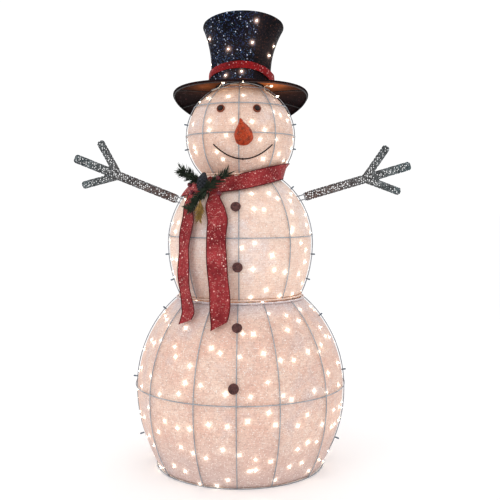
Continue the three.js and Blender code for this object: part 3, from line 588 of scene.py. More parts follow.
def bulbPlaces(name):
    # the bulbs that nothing lies on: their azimuth and height
    ball = balls[name]
    azimuth, z = bulbFeet(name)
    turn = (azimuth + 180) % 360 - 180
    spot = ballPoint(ball, azimuth, np.arcsin((z - ball["middle"])
                                              / np.where(z < ball["middle"], ball["below"], ball["above"])))
    keep = ~(between(turn, behindScarf["turn"]) & between(z, behindScarf["height"]))
    keep &= ~((np.abs(np.abs(turn) - atArms["turn"]) < atArms["half"]) & between(z, atArms["height"]))
    for _, owner, x, height in buttons + eyes:
        if owner == name:
            keep &= np.linalg.norm(spot - frontPoint(ball, x, height), axis=1) > discClear
    if name == "head":
        keep &= np.linalg.norm(spot - noseClear["place"], axis=1) > noseClear["reach"]
        keep &= np.linalg.norm(spot[:, None] - smilePath(40)[None], axis=2).min(1) > smileClear
    return azimuth[keep], z[keep]


def cordPath(azimuth, z, perBulb, radiusAt):
    # runs level past each bulb and eases to the height of the next
    dense = np.linspace(azimuth[0], azimuth[-1], perBulb * len(azimuth))
    here = np.clip(np.searchsorted(azimuth, dense, side="right") - 1, 0, len(azimuth) - 2)
    share = (dense - azimuth[here]) / (azimuth[here + 1] - azimuth[here])
    height = z[here] + (z[here + 1] - z[here]) * ease(share)
    path = outward(dense) * radiusAt(height)[:, None]
    path[:, 2] = height
    return path


holderShape = turned([[0, -0.017], [0.0026, -0.017], [0.0031, -0.012], [0.0031, -0.001], [0.0038, 0.0],
                      [0.0038, 0.0015], [0, 0.0016]], 8)
bulbShape = turned([[0, 0.0], [0.0024, 0.0002], [0.0027, 0.004], [0.0022, 0.009], [0.0011, 0.0115],
                    [0, 0.0125]], 8)
bulbSpots = {}
for name, ball in balls.items():
    feetAzimuth, feetHeight = bulbFeet(name)
    path = cordPath(feetAzimuth, feetHeight, 6, lambda z: ballRadius(ball, z, wire["cordBehind"]))
    shapes = [tube(path, wire["cordRadius"], 6)]
    azimuth, z = bulbPlaces(name)
    spots = outward(azimuth) * ballRadius(ball, z, bulb["depth"])[:, None]
    spots[:, 2] = z
    away = ballNormal(ball, spots)
    if name == "head":  # the end of the string comes out under the brim
        extra = np.array([[-0.053, -0.085, 1.262], [0.010, -0.088, 1.264], [0.101, -0.040, 1.258],
                          [0.120, -0.062, 1.219]])
        extraAway = unit(np.array([[-0.3, -1, 0.1], [0.1, -1, 0.1], [0.5, -0.9, -0.2], [0.6, -0.8, 0.2]]))
        spots, away = np.concatenate([spots, extra]), np.concatenate([away, extraAway])
        for loop in ([[0.102, -0.030, 1.255], [0.086, -0.052, 1.258], [0.078, -0.066, 1.248],
                      [0.084, -0.075, 1.236], [0.102, -0.072, 1.224], [0.119, -0.055, 1.216]],
                     [[-0.050, -0.074, 1.262], [-0.064, -0.078, 1.256], [-0.070, -0.082, 1.246],
                      [-0.084, -0.078, 1.240], [-0.092, -0.060, 1.240]]):
            share = np.linspace(0, len(loop) - 1, 40)
            bend = np.stack([np.interp(share, np.arange(len(loop)), np.array(loop)[:, k]) for k in range(3)],
                            -1)
            bend[1:-1] = (bend[:-2] + bend[1:-1] + bend[2:]) / 3
            shapes.append(tube(bend, wire["cordRadius"], 6, aim=(0.2, 1, 0.1)))
    newPiece(name + "LightCord", joined(shapes), cordMaterial, name, [name + "_light_string"])
    rng = np.random.default_rng(strings[name]["seed"] + 1)
    away = unit(away + rng.normal(0, 0.12, away.shape))
    size = rng.uniform(0.9, 1.12, len(spots))
    newPiece(name + "BulbHolders", scattered(holderShape, spots, away, size), holderMaterial, name)
    newPiece(name + "Bulbs", scattered(bulbShape, spots + away * 0.001, away, size), bulbMaterial, name)
    bulbSpots[name] = spots
print("light strings made:", {k: len(v) for k, v in bulbSpots.items()})


def glowAt(points, spots, core, reach, strength=None):
    # painted bulb light: a bell round the nearest bulb, a slower fall-off summed over all, and the offset
    # from the nearest
    near, far = np.zeros(len(points)), np.zeros(len(points))
    offset = np.zeros((len(points), 3))
    for part in np.array_split(np.arange(len(points)), 12):
        gaps = points[part, None] - spots[None]
        gap = np.linalg.norm(gaps, axis=2)
        nearest = gap.argmin(1)
        near[part] = np.exp(-(gap.min(1) / core) ** 2) * (1 if strength is None else strength[nearest])
        far[part] = np.exp(-gap / reach).sum(1)
        offset[part] = gaps[np.arange(len(part)), nearest]
    return near, far, offset


# Wire frames: rings and ribs of round wire, with weld beads where they cross.
def ringWire(radius, z, steps=120):
    azimuth = np.arange(steps) * 360 / steps
    path = outward(azimuth) * radius
    path[:, 2] = z
    return tube(path, wire["radius"], 8, (0, 0, 1), True)


def ribWire(ball, azimuth, start, end, steps=36):
    path = ballPoint(ball, np.full(steps, float(azimuth)), np.linspace(start, end, steps), wire["radius"])
    return tube(path, wire["radius"], 8, outward(azimuth + 90))


def prongWire(radius, z, azimuth):
    # a prong that stands inside the ring and bends over to be welded to it
    inAndUp = np.array([[-0.014, -0.042], [-0.014, -0.030], [-0.014, -0.008], [-0.0132, -0.003],
                        [-0.011, -0.0006], [-0.007, 0.0], [-0.001, 0.0]])
    path = outward(azimuth) * (radius + inAndUp[:, 0])[:, None]
    path[:, 2] = z + inAndUp[:, 1]
    return tube(path, wire["radius"], 8, outward(azimuth + 90))


beadShape = turned([[0, -0.0036], [0.0026, -0.0026], [0.0036, 0], [0.0026, 0.0026], [0, 0.0036]], 8)
prongs = {"torso": (0.0, 15), "head": (0.0, 22.5)}
for name, ball in balls.items():
    low, high = ball["rings"][0], ball["rings"][-1]
    shapes = [ringWire(float(ballRadius(ball, z, wire["radius"])), z) for z in ball["rings"]]
    start, end = (latitude(ball, z, wire["radius"]) for z in (low, high))
    ribAzimuths = np.array(ball["ribs"]) + ball["turn"]
    shapes += [ribWire(ball, a, start, end) for a in ribAzimuths]
    crossings = np.concatenate([
        ballPoint(ball, ribAzimuths, np.full(len(ribAzimuths), latitude(ball, z, wire["radius"])),
                  wire["radius"] * 1.2)
        for z in ball["rings"][1:-1]
    ])
    shapes.append(scattered(beadShape, crossings, ballNormal(ball, crossings)))
    if name == "head":
        shapes += [ribWire(ball, a + ball["turn"], end, math.pi - end) for a in (0, 90)]
    if name in prongs:
        radius = float(ballRadius(ball, low, wire["radius"]))
        shapes += [prongWire(radius, low, prongs[name][1] + 90 * i) for i in range(4)]
    newPiece(name + "WireFrame", joined(shapes), wireMaterial, name, [name + "_frame"])
clipShape = turned([[0, -0.006], [0.0022, -0.006], [0.0026, 0.002], [0.0026, 0.0068], [0.0018, 0.0084],
                    [0, 0.0088]], 8)
clips = {"base": [0.101, 0.510, 0.300], "torso": [0.626, 0.718, 0.905], "head": [1.060, 1.150]}
for name, heights in clips.items():
    ball = balls[name]
    rng = np.random.default_rng(71)
    azimuth = np.array([a for a in ball["ribs"] if 80 < a < 280]) + ball["turn"]
    azimuths, z = (grid.ravel() for grid in np.meshgrid(azimuth, heights))
    z = z + rng.uniform(-0.022, 0.022, len(z))
    azimuths = azimuths - np.where(azimuths < 180, 7.5, -7.5) * (np.abs(azimuths - 180) > 60)
    spots = outward(azimuths) * ballRadius(ball, z)[:, None]
    spots[:, 2] = z
    newPiece(name + "CordClips", scattered(clipShape, spots, ballNormal(ball, spots)), clipMaterial, name)
print("wire frames made")


def flatOffset(ball, points, offset):
    # the offset along the level and along the rise, and a turn that differs from bulb to bulb
    normal = ballNormal(ball, points)
    level = unit(np.cross([0.0, 0.0, 1.0], normal))
    spot = points - offset
    turn = 40 * (spot[:, 0] + 1.7 * spot[:, 1] + 2.3 * spot[:, 2])
    return np.stack([(offset * level).sum(1), (offset * np.cross(normal, level)).sum(1), turn], -1)


# Cloth of the balls: it lies against the wires and is drawn in between them.
hemRings = {"base": [0.5545], "torso": [0.5625, 0.9555], "head": [0.9635]}
coverGrid = {"base": (360, 104), "torso": (264, 84), "head": (208, 96)}
for name, ball in balls.items():
    columns, rows = coverGrid[name]
    low, high = ball["cloth"]
    top = math.pi / 2 - 0.012 if name == "head" else latitude(ball, high, wire["clothBehind"])
    lat = np.linspace(latitude(ball, low, wire["clothBehind"]), top, rows)
    azimuth = np.arange(columns) * 360 / columns
    lats, azimuths = np.meshgrid(lat, azimuth, indexing="ij")
    height = ball["middle"] + np.where(lats < 0, ball["below"], ball["above"]) * np.sin(lats)
    atRings = np.min([np.abs(height - z) for z in ball["rings"]], 0)
    free = 1 - np.exp(-(atRings / 0.035) ** 2)
    ribs = np.array(ball["ribs"] + [360.0])
    share = np.interp((azimuths - ball["turn"]) % 360, ribs, np.arange(len(ribs)))
    pull = np.abs(np.sin(np.pi * share)) ** 0.8
    ripple = 0.0007 * np.sin(lats * 37 + 3 * np.sin(np.radians(azimuths) * 5)) * np.sin(np.radians(azimuths)
                                                                                        * 23 + lats * 9)
    depth = wire["clothBehind"] + 0.0008 + ball["sag"] * pull * (0.35 + 0.65 * free) + ripple * pull
    points = ballPoint(ball, azimuths, lats, depth).reshape(-1, 3)
    quads, tris = gridQuads(rows, columns, False, True), noTris
    girth = 2 * math.pi * (ball["radius"] - wire["clothBehind"])
    side = points.reshape(rows, columns, 3)[:, 0]
    rise = float(np.linalg.norm(np.diff(side, axis=0), axis=1).sum())
    if name == "head":
        last, j = (rows - 1) * columns, np.arange(columns)
        tris = np.stack([np.full(columns, len(points)), last + j, last + (j + 1) % columns], -1)
        points = np.concatenate([points, [[0, 0, points[last, 2]]]])
    surfaceSpots = bulbSpots[name] + ballNormal(ball, bulbSpots[name]) * (bulb["depth"] - wire["clothBehind"]
                                                                          - 0.002)
    # The bulbs' light on the cloth is painted: each bulb's painted glow has its own brightness.
    strength = np.random.default_rng(strings[name]["seed"] + 2).uniform(0.42, 1.08, len(surfaceSpots))
    near, far, offset = glowAt(points, surfaceSpots, 0.0105, 0.028, strength)
    fields = {"glow": near, "halo": np.clip(far, 0, 2.5) * 0.07, "toBulb": flatOffset(ball, points, offset)}
    cloth = newPiece(name + "Cloth", (points, quads, tris), clothMaterials[name], name,
                     [name + "_cover"],
                     gridUv(rows, columns, girth, rise, True), fields)
    thicken(cloth, wire["clothThickness"])
    hemShapes = []
    for z in hemRings[name]:  # the cloth's edge is rolled round the ring's wire
        azimuth = np.arange(240) * 1.5
        path = outward(azimuth) * float(ballRadius(ball, z, wire["radius"]))
        path[:, 2] = z
        hemShapes.append(tube(path, 0.0031 + 0.0004 * np.sin(np.radians(azimuth) * 31), 8, (0, 0, 1), True))
    hem = joined(hemShapes)
    noBulb = np.tile([0.1, 0.1, 0.0], (len(hem[0]), 1))
    # The hem gets a faint even painted glow, and no star glint.
    hemPiece = newPiece(name + "Hem", hem, clothMaterials[name], name,
                        fields={"glow": np.zeros(len(hem[0])), "halo": np.full(len(hem[0]), 0.02),
                                "toBulb": noBulb})


# Carried-over metal and plastic
for name, node in nodes.items():
    if "socket_tube" in name or name.startswith("arm_socket") or name.endswith("_frame"):
        finish = tubeMaterial if "socket" in name else wireMaterial
    elif name.endswith("string_plug") or name.endswith("string_socket"):
        finish = connectorMaterial
    else:
        continue
    node.data.materials.clear()
    node.data.materials.append(finish)


# Hat
hatPlace = {"back": 0.095, "up": 1.246, "tilt": 12.0, "lean": 0.009}
hatSize = {"foot": 0.116, "waist": 0.109, "waistHeight": 0.075, "top": 0.146, "height": 0.253, "brim": 0.236,
           "brimHole": 0.114}


def toWorld(local):  # from the hat's own frame, whose origin is the middle of the brim
    t = math.radians(hatPlace["tilt"])
    x, y, z = local[..., 0], local[..., 1], local[..., 2]
    x = x + hatPlace["lean"] * (np.clip(z, 0, None) / hatSize["height"]) ** 2
    back = y * math.cos(t) + z * math.sin(t) + hatPlace["back"]
    up = z * math.cos(t) - y * math.sin(t) + hatPlace["up"]
    return np.stack([x, back, up], -1)


def crownRadius(h):
    waist, bend = hatSize["waist"], hatSize["waistHeight"]
    below = waist + (hatSize["foot"] - waist) * ((bend - h) / bend) ** 2
    above = waist + (hatSize["top"] - waist) * ((h - bend) / (hatSize["height"] - bend)) ** 2
    return np.where(h < bend, below, above)


def brimBend(x, y):  # the sides bend down a little, the front and the rear more
    reach = np.hypot(x, y)
    outside = np.clip((reach - hatSize["foot"]) / (hatSize["brim"] - hatSize["foot"]), 0, None)
    dip = np.where(y < 0, 0.034, 0.050)
    sideways = (x / reach) ** 2
    return outside ** 2 * (-0.007 * sideways - dip * (1 - sideways))


headInHat = {"y": -0.0609, "z": -0.1704, "radius": 0.1895}  # the head's sphere, in the hat's frame


def overHead(x, y):  # lowest height that clears the head
    gap = np.clip(headInHat["radius"] ** 2 - x ** 2 - (y - headInHat["y"]) ** 2, 0, None)
    return headInHat["z"] + np.sqrt(gap)


navy = {"deep": paint(6, 6, 10), "light": paint(16, 17, 28), "flake": paint(94, 114, 176),
        "bright": paint(216, 224, 248),
        # The next tone is that of the flakes where the crown is in painted shade.
        "shadeTone": paint(120, 66, 44), "threads": 300.0, "threadShade": 0.5, "flakes": 250.0, "share": 0.5,
        "tintShare": 0.6, "rough": 0.8, "specular": 0.08, "sparkle": 0.3, "glowTint": (1.0, 0.62, 0.5, 1.0)}
brimLook = dict(navy, deep=paint(18, 8, 9), light=paint(36, 22, 25), flake=paint(52, 34, 40),
                bright=paint(120, 60, 56),
                share=0.14, sparkle=0.06, specular=0.05, glowTint=(1.0, 0.26, 0.07, 1.0))
bandLook = {"deep": paint(96, 2, 8), "light": paint(176, 12, 20), "flake": paint(224, 40, 50),
            "bright": paint(255, 190, 186),
            "shadeTone": paint(150, 10, 16), "threads": 400.0, "threadShade": 0.4, "flakes": 300.0, "share": 0.4,
            "tintShare": 0.2, "rough": 0.6, "specular": 0.15, "sparkle": 0.35,
            "glowTint": (1.0, 0.4, 0.3, 1.0)}


def plainFields(count):  # no painted bulb glow on the fabric, and no painted shaded side
    return {"glow": np.zeros(count), "shadedSide": np.zeros(count)}


navyMaterial = glitterFabric("navyGlitter", navy)
brimMaterial = glitterFabric("brimFelt", brimLook)
bandMaterial = glitterFabric("redBand", bandLook)

# Crown cover: the cloth is drawn in between eight uprights; the last rows turn over and close the top.
crown = {"columns": 240, "rows": 72, "capRows": 24, "panelSag": 0.0045, "foot": 0.0026}
azimuth = np.arange(crown["columns"]) * 360 / crown["columns"]
pull = np.abs(np.sin(np.radians(azimuth - 22.5) * 4)) ** 0.8
footLocal = outward(azimuth) * float(crownRadius(0.0))
footHeight = np.maximum(crown["foot"], overHead(footLocal[:, 0], footLocal[:, 1]) + 0.001)
share = np.linspace(0, 1, crown["rows"])[:, None]
edge = 0.004
height = footHeight + (hatSize["height"] - edge - footHeight) * share
radius = crownRadius(height) - crown["panelSag"] * pull * np.sin(np.pi * np.clip(height / hatSize["height"],
                                                                                 0, 1)) ** 0.5
local = outward(azimuth)[None] * radius[..., None]
local[..., 2] = height
corner = np.linspace(0, np.pi / 2, 6)[1:, None]
rimRadius = radius[-1] - edge * (1 - np.cos(corner))
rim = outward(azimuth)[None] * rimRadius[..., None]
rim[..., 2] = hatSize["height"] - edge + edge * np.sin(corner)
capShare = np.linspace(1, 0.02, crown["capRows"])[1:, None]
cap = outward(azimuth)[None] * (rimRadius[-1] * capShare)[..., None]
cap[..., 2] = hatSize["height"] - 0.003 * (1 - capShare ** 4)
local = np.concatenate([local, rim, cap])
rows, columns = local.shape[:2]
points = toWorld(local).reshape(-1, 3)
last, j = (rows - 1) * columns, np.arange(columns)
tris = np.stack([np.full(columns, len(points)), last + j, last + (j + 1) % columns], -1)
points = np.concatenate([points, toWorld(np.array([[0, 0, hatSize["height"] - 0.003]]))])
quads = gridQuads(rows, columns, False, True)

# Hat bulbs stand out of the crown: those at the back are random, those at the front are listed one by one.
hatString = {"loops": [0.050, 0.120, 0.190], "count": 9, "depth": 0.0195, "seed": 53, "sideJitter": 0.35,
             "heightJitter": 0.024, "low": 0.024, "high": 0.235, "stand": 0.0085, "offBand": (0.052, 0.098),
             "offFront": 80}
frontBulbs = [(-66, 0.188), (21, 0.222), (-23, 0.128), (70, 0.165), (19, 0.150), (60, 0.124), (-27, 0.035),
              (2, 0.046)]
rng = np.random.default_rng(hatString["seed"])
total = hatString["count"] * len(hatString["loops"])
jitter, rise = hatString["sideJitter"], hatString["heightJitter"]
feet = 168 + 360 / hatString["count"] * (np.arange(total) + 0.5 + rng.uniform(-jitter, jitter, total))
feetHeight = np.repeat(hatString["loops"], hatString["count"]) + rng.uniform(-rise, rise, total)
feetHeight = np.clip(feetHeight, hatString["low"], hatString["high"])
bandLow, bandHigh = hatString["offBand"]
keep = (feetHeight < bandLow) | (feetHeight > bandHigh)
keep &= np.abs((feet + 180) % 360 - 180) > hatString["offFront"]
path = cordPath(feet, feetHeight, 8, lambda z: crownRadius(z) - hatString["depth"])
newPiece("hatLightCord", tube(toWorld(path), wire["cordRadius"], 6), cordMaterial, "hat",
         ["hat_light_string"])
feet = np.concatenate([feet[keep], [a for a, h in frontBulbs]])
feetHeight = np.concatenate([feetHeight[keep], [h for a, h in frontBulbs]])
spots = outward(feet) * (crownRadius(feetHeight) - hatString["stand"])[:, None]
spots[:, 2] = feetHeight
away = toWorld(spots + outward(feet)) - toWorld(spots)
hatSpots = toWorld(spots)
newPiece("hatBulbHolders", scattered(holderShape, hatSpots, away), blackWire, "hat")
newPiece("hatBulbs", scattered(bulbShape, hatSpots + away * 0.001, away), bulbMaterial, "hat")

# Painted glow of the hat bulbs on the crown cloth, as emission.
near, far, _ = glowAt(points, hatSpots + away * 0.008, 0.007, 0.016)
crownAzimuth = np.tile(np.arange(columns) * 360 / columns, rows)
# Painted shade on the crown's +X side, from 25 to 203 degrees: there its flakes are fewer and bronze; the
# apex takes half.
shadedSide = ease(crownAzimuth, 24, 27) * (1 - ease(crownAzimuth, 201, 204))
shadedSide = np.concatenate([shadedSide, [0.5]])
crownGirth, crownRise = 2 * math.pi * hatSize["top"], hatSize["height"] + hatSize["top"]
crownCloth = newPiece("hatCrownCloth", (points, quads, tris), navyMaterial, "hat",
                      ["hat_crown_cover"],
                      gridUv(rows, columns, crownGirth, crownRise, True),
                      {"glow": near * 0.9 + far * 0.05, "shadedSide": shadedSide})
thicken(crownCloth, 0.0012)

# Brim cover: from the head or the crown's foot out to the bent edge.
brim = {"columns": 240, "rows": 30}
azimuth = np.arange(brim["columns"]) * 360 / brim["columns"]
cosA, sinA = np.cos(np.radians(azimuth)), np.sin(np.radians(azimuth))
hole = 0.087
atHead = -headInHat["y"] * cosA + np.sqrt(np.clip(hole ** 2 - (headInHat["y"] * sinA) ** 2, 0, None))
inner = np.where(hole ** 2 > (headInHat["y"] * sinA) ** 2,
                 np.maximum(hatSize["brimHole"], atHead * (cosA > 0)), hatSize["brimHole"])
share = np.linspace(0, 1, brim["rows"])[:, None]
radius = inner + (hatSize["brim"] - 0.004 - inner) * share
local = outward(azimuth)[None] * radius[..., None]
local[..., 2] = brimBend(local[..., 0],
                         local[..., 1]) + 0.001 + 0.0008 * np.sin(np.radians(azimuth) * 7) * share
local = local[::-1]  # rows run inwards, so that the faces point up
brimPoints = toWorld(local).reshape(-1, 3)
quads = gridQuads(brim["rows"], brim["columns"], False, True)
# Painted warm light of the bulbs at the head's top on the brim's underside, as emission.
brimLamps = np.concatenate([bulbSpots["head"][-4:],
                            [[0.112, 0.0, 1.244], [0.125, -0.03, 1.235], [-0.118, 0.0, 1.236]]])
near, far, _ = glowAt(brimPoints, brimLamps, 0.022, 0.026)
brimCloth = newPiece("hatBrimCloth", (brimPoints, quads, noTris), brimMaterial, "hat",
                     ["hat_brim_cover"],
                     gridUv(brim["rows"], brim["columns"], 2 * math.pi * 0.17, 0.12, True),
                     {"glow": far * 0.42 + near * 0.30, "shadedSide": np.zeros(len(brimPoints))})
thicken(brimCloth, 0.0016)
edgePath = outward(azimuth) * (hatSize["brim"] - 0.0035)
edgePath[:, 2] = brimBend(edgePath[:, 0], edgePath[:, 1])
edgeShape = tube(toWorld(edgePath), 0.0034, 10, (0, 0, 1), True)
brimEdge = newPiece("hatBrimEdge", edgeShape, brimMaterial, "hat",
                    fields={"shadedSide": np.zeros(len(edgeShape[0]))})
side = 2 * (hatSize["brim"] - 0.004)

# Hat frame: rings, uprights, spokes and the two prongs, in black wire.
def hatRing(radius, z, bend=False):
    path = outward(np.arange(96) * 3.75) * radius
    path[:, 2] = z + (brimBend(path[:, 0], path[:, 1]) if bend else 0)
    return tube(toWorld(path), wire["radius"], 8, (0, 0, 1), True)


hatWire = {"inBrim": 0.005, "underBrim": -0.006, "inCrown": 0.0075, "foot": 0.014, "top": 0.2455,
           "prong": -0.050,
           "spokeStart": 0.0085}
shapes = [hatRing(hatSize["brim"] - hatWire["inBrim"], hatWire["underBrim"], True)]
shapes += [hatRing(float(crownRadius(h)) - hatWire["inCrown"], h) for h in (hatWire["foot"], hatWire["top"])]
for i in range(8):
    turn = 22.5 + 45 * i
    overFace = abs((turn + 180) % 360 - 180) < 45
    h = np.linspace(hatWire["foot"] if overFace else hatWire["underBrim"], hatWire["top"], 24)
    path = outward(turn)[None] * (crownRadius(h) - hatWire["inCrown"])[:, None]
    path[:, 2] = h
    shapes.append(tube(toWorld(path), wire["radius"], 8, outward(turn + 90)))
    if not overFace:
        reach = np.linspace(hatSize["foot"] - hatWire["spokeStart"], hatSize["brim"] - hatWire["inBrim"], 16)
        path = outward(turn)[None] * reach[:, None]
        path[:, 2] = brimBend(path[:, 0], path[:, 1]) + hatWire["underBrim"]
        shapes.append(tube(toWorld(path), wire["radius"], 8, outward(turn + 90)))
for turn in (-45, 45):
    path = np.repeat(outward(turn)[None] * (float(crownRadius(hatWire["foot"])) - hatWire["inCrown"]), 6, 0)
    path[:, 2] = np.linspace(hatWire["prong"], hatWire["foot"], 6)
    shapes.append(tube(toWorld(path), wire["radius"], 8, outward(turn + 90)))
newPiece("hatWireFrame", joined(shapes), blackWire, "hat", ["hat_frame"])

# Hat band: a flat glitter ribbon that lies lower on the +X side, a little puckered.
band = {"low": 0.057, "high": 0.083, "slope": 0.03, "sideDrop": 0.012, "widen": 0.016, "columns": 240,
        "rows": 12}
azimuth = np.arange(band["columns"]) * 360 / band["columns"]
share = np.linspace(0, 1, band["rows"])[:, None]
wide = band["widen"] * ease(azimuth, 30, 85) * (1 - ease(azimuth, 95, 150))
height = band["low"] - wide + (band["high"] - band["low"] + wide) * share
pucker = 0.0009 * np.sin(np.radians(azimuth) * 17 + share * 3) * np.sin(np.radians(azimuth) * 5 + 1)
radius = crownRadius(height) + 0.0032 + 0.0008 * np.sin(np.pi * share) + pucker + 0.005 * wide / band["widen"]
local = outward(azimuth)[None] * radius[..., None]
sideways = (local[..., 0] / hatSize["waist"]) ** 2
sway = 0.0010 * np.sin(np.radians(azimuth) * 3)
local[..., 2] = height - band["slope"] * local[..., 0] - band["sideDrop"] * sideways + sway
bandPoints = toWorld(local).reshape(-1, 3)
quads = gridQuads(band["rows"], band["columns"], False, True)
bandGirth, bandWide = 2 * math.pi * (hatSize["waist"] + 0.003), band["high"] - band["low"]
bandPiece = newPiece("hatBandRibbon", (bandPoints, quads, noTris), bandMaterial, "hat",
                     ["hat_band"],
                     gridUv(band["rows"], band["columns"], bandGirth, bandWide, True),
                     plainFields(len(bandPoints)))
thicken(bandPiece, 0.0012)
print("hat made")


# Scarf ribbon
ribbonLook = {"deep": paint(112, 24, 30), "light": paint(190, 70, 72), "flake": paint(222, 146, 138),
              "bright": paint(255, 206, 196),
              "shadeTone": paint(120, 30, 34), "threads": 230.0, "threadShade": 0.7, "flakes": 235.0,
              "share": 0.42,
              "tintShare": 0.15, "rough": 0.7, "specular": 0.15, "sparkle": 0.3,
              "glowTint": (1.0, 0.5, 0.4, 1.0)}
ribbonMaterial = glitterFabric("scarfRibbon", ribbonLook)
ribbonEdge = plainMaterial("ribbonEdge", paint(96, 12, 22), paint(58, 5, 12), 60.0, 400.0, 0.5, 0.0003,
                           Specular_IOR_Level=0.2)
ribbon = {"width": 0.0635, "thickness": 0.0011, "edge": 0.0014, "stand": 0.007}


def tailPoint(tail, share, across):
    # share runs from the low end to the knot; the tail lies over the torso, hangs, and lies on the base
    low, high, torso = tail["low"], tail["high"], balls["torso"]
    height = low + (high - low) * share + tail["slant"] * (1 - share) ** 2 * across / ribbon["width"]
    overTorso = np.where(height > torso["middle"], ballRadius(torso, height), torso["radius"])
    overBase = np.where(height < 0.557, ballRadius(balls["base"], height), 0)
    bulge = np.logaddexp(overTorso * 300, overBase * 300) / 300
    wave = 0.0022 * (1 + np.sin(share * 19 + tail["phase"] + across * 40)) * (0.3 + 0.7 * np.abs(across)
                                                                              / ribbon["width"] * 2)
    curl = 0.05 * across ** 2 / ribbon["width"]
    azimuth = tail["end"] + (tail["start"] - tail["end"]) * ease(share, 0.75,
                                                                 1) + 1.1 * np.sin(share * 7 + tail["phase"])
    pinch = tail["pinch"] * (1 - ease(share, 0.0, 0.13))
    narrow = (1 - 0.45 * ease(share, 0.86, 1)) * tail["turn"] * (1 - pinch)
    azimuth = azimuth + 4.5 * pinch + tail["swing"] * (1 - ease(share, 0.0, 0.4))
    curl = curl + (1 - tail["turn"]) * 0.5 * (ribbon["width"] / 2 + across)
    out = outward(azimuth) * (bulge + ribbon["stand"] + wave + curl)[..., None]
    place = out + outward(azimuth + 90) * (across * narrow)[..., None]
    place[..., 2] = height
    return place


for name, tail in tails.items():
    rows, columns = 110, 19
    shares, acrosses = np.meshgrid(np.linspace(0, 1, rows), np.linspace(-0.5, 0.5, columns) * ribbon["width"],
                                   indexing="ij")
    grid = tailPoint(tail, shares, acrosses)
    edges = joined([tube(grid[:, k] + outward(tail["end"]) * 0.0004, ribbon["edge"], 6,
                         outward(tail["end"] + 90)) for k in (0, columns - 1)])
    length = float(np.linalg.norm(np.diff(grid[:, columns // 2], axis=0), axis=1).sum())
    strip = newPiece("scarfTail" + name.capitalize(), (grid.reshape(-1, 3), gridQuads(rows, columns), noTris),
                     ribbonMaterial, "torso",
                     ["scarf_tail_" + name], gridUv(rows, columns, ribbon["width"], length),
                     plainFields(rows * columns))
    thicken(strip, ribbon["thickness"])
    border = newPiece("scarfTail" + name.capitalize() + "Edges", edges, ribbonEdge, "torso")
    print("scarf tail", name, "flat length", round(length, 3))

# Neck wrap: the ribbon lies on the shoulder in front and climbs to the cheek at the +X side.
rows, columns = 17, 260
azimuth = np.arange(columns) * 360 / columns
sinA = np.sin(np.radians(azimuth))
wrapRun = {"middle": 0.936, "climb": 0.0295, "dip": 0.0115, "soft": 0.03, "tall": 0.051}
dip = np.sqrt(sinA ** 2 + wrapRun["soft"]) - math.sqrt(wrapRun["soft"])
middle = wrapRun["middle"] + wrapRun["climb"] * sinA + wrapRun["dip"] * dip
share = np.linspace(0, 1, rows)[:, None]
height = middle + (share - 0.5) * wrapRun["tall"]
overTorso, overHeadBall = ballRadius(balls["torso"], height), ballRadius(balls["head"], height)
ground = np.maximum(np.where(height < 0.958, overTorso, 0), np.where(height > 0.961, overHeadBall, 0))
straight = ground[0] + (ground[-1] - ground[0]) * share
fold = 0.0018 * np.sin(np.radians(azimuth) * 9 + share * 5) * np.sin(np.radians(azimuth) * 4 + share * 2)
radius = np.maximum(ground, straight - 0.003 * np.sin(np.pi * share)) + 0.0045 + fold
grid = outward(azimuth)[None] * radius[..., None]
grid[..., 2] = height
wrapLength = 2 * math.pi * float(radius.mean())
edges = joined([tube(grid[k], ribbon["edge"], 6, (0, 0, 1), True) for k in (0, rows - 1)])
wrap = newPiece("scarfWrap", (grid.reshape(-1, 3), gridQuads(rows, columns, False, True), noTris),
                ribbonMaterial, "torso",
                ["scarf_neck_wrap"], gridUv(rows, columns, wrapLength, ribbon["width"], True),
                plainFields(rows * columns))
thicken(wrap, ribbon["thickness"])
border = newPiece("scarfWrapEdges", edges, ribbonEdge, "torso")

# Knot: a short turn of the ribbon, pleated where it is pulled tight.
knot = {"place": (-0.112, -0.150, 0.926), "turn": -38, "half": (0.026, 0.017, 0.026), "radius": 0.0215,
        "width": 0.06}
rows, columns = 41, 72
v, u = np.meshgrid(np.linspace(-1, 1, rows), np.arange(columns) * 2 * np.pi / columns, indexing="ij")
waist = 1 - 0.35 * (1 - v ** 2) + 0.03 * np.sin(v * 21) * (1 + 0.5 * np.sin(u * 3))
local = np.stack([knot["half"][0] * v, knot["half"][1] * waist * np.cos(u),
                  knot["half"][2] * waist * np.sin(u)], -1)
t = math.radians(knot["turn"])
turnMatrix = np.array([[math.cos(t), -math.sin(t), 0], [math.sin(t), math.cos(t), 0], [0, 0, 1]])
grid = local @ turnMatrix.T + knot["place"]
knotGirth = 2 * math.pi * knot["radius"]
knotPiece = newPiece("scarfKnot", (grid[::-1].reshape(-1, 3), gridQuads(rows, columns, False, True), noTris),
                     ribbonMaterial, "torso",
                     ["scarf_knot"], gridUv(rows, columns, knotGirth, knot["width"], True),
                     plainFields(rows * columns))
thicken(knotPiece, 0.0015)
print("scarf made")


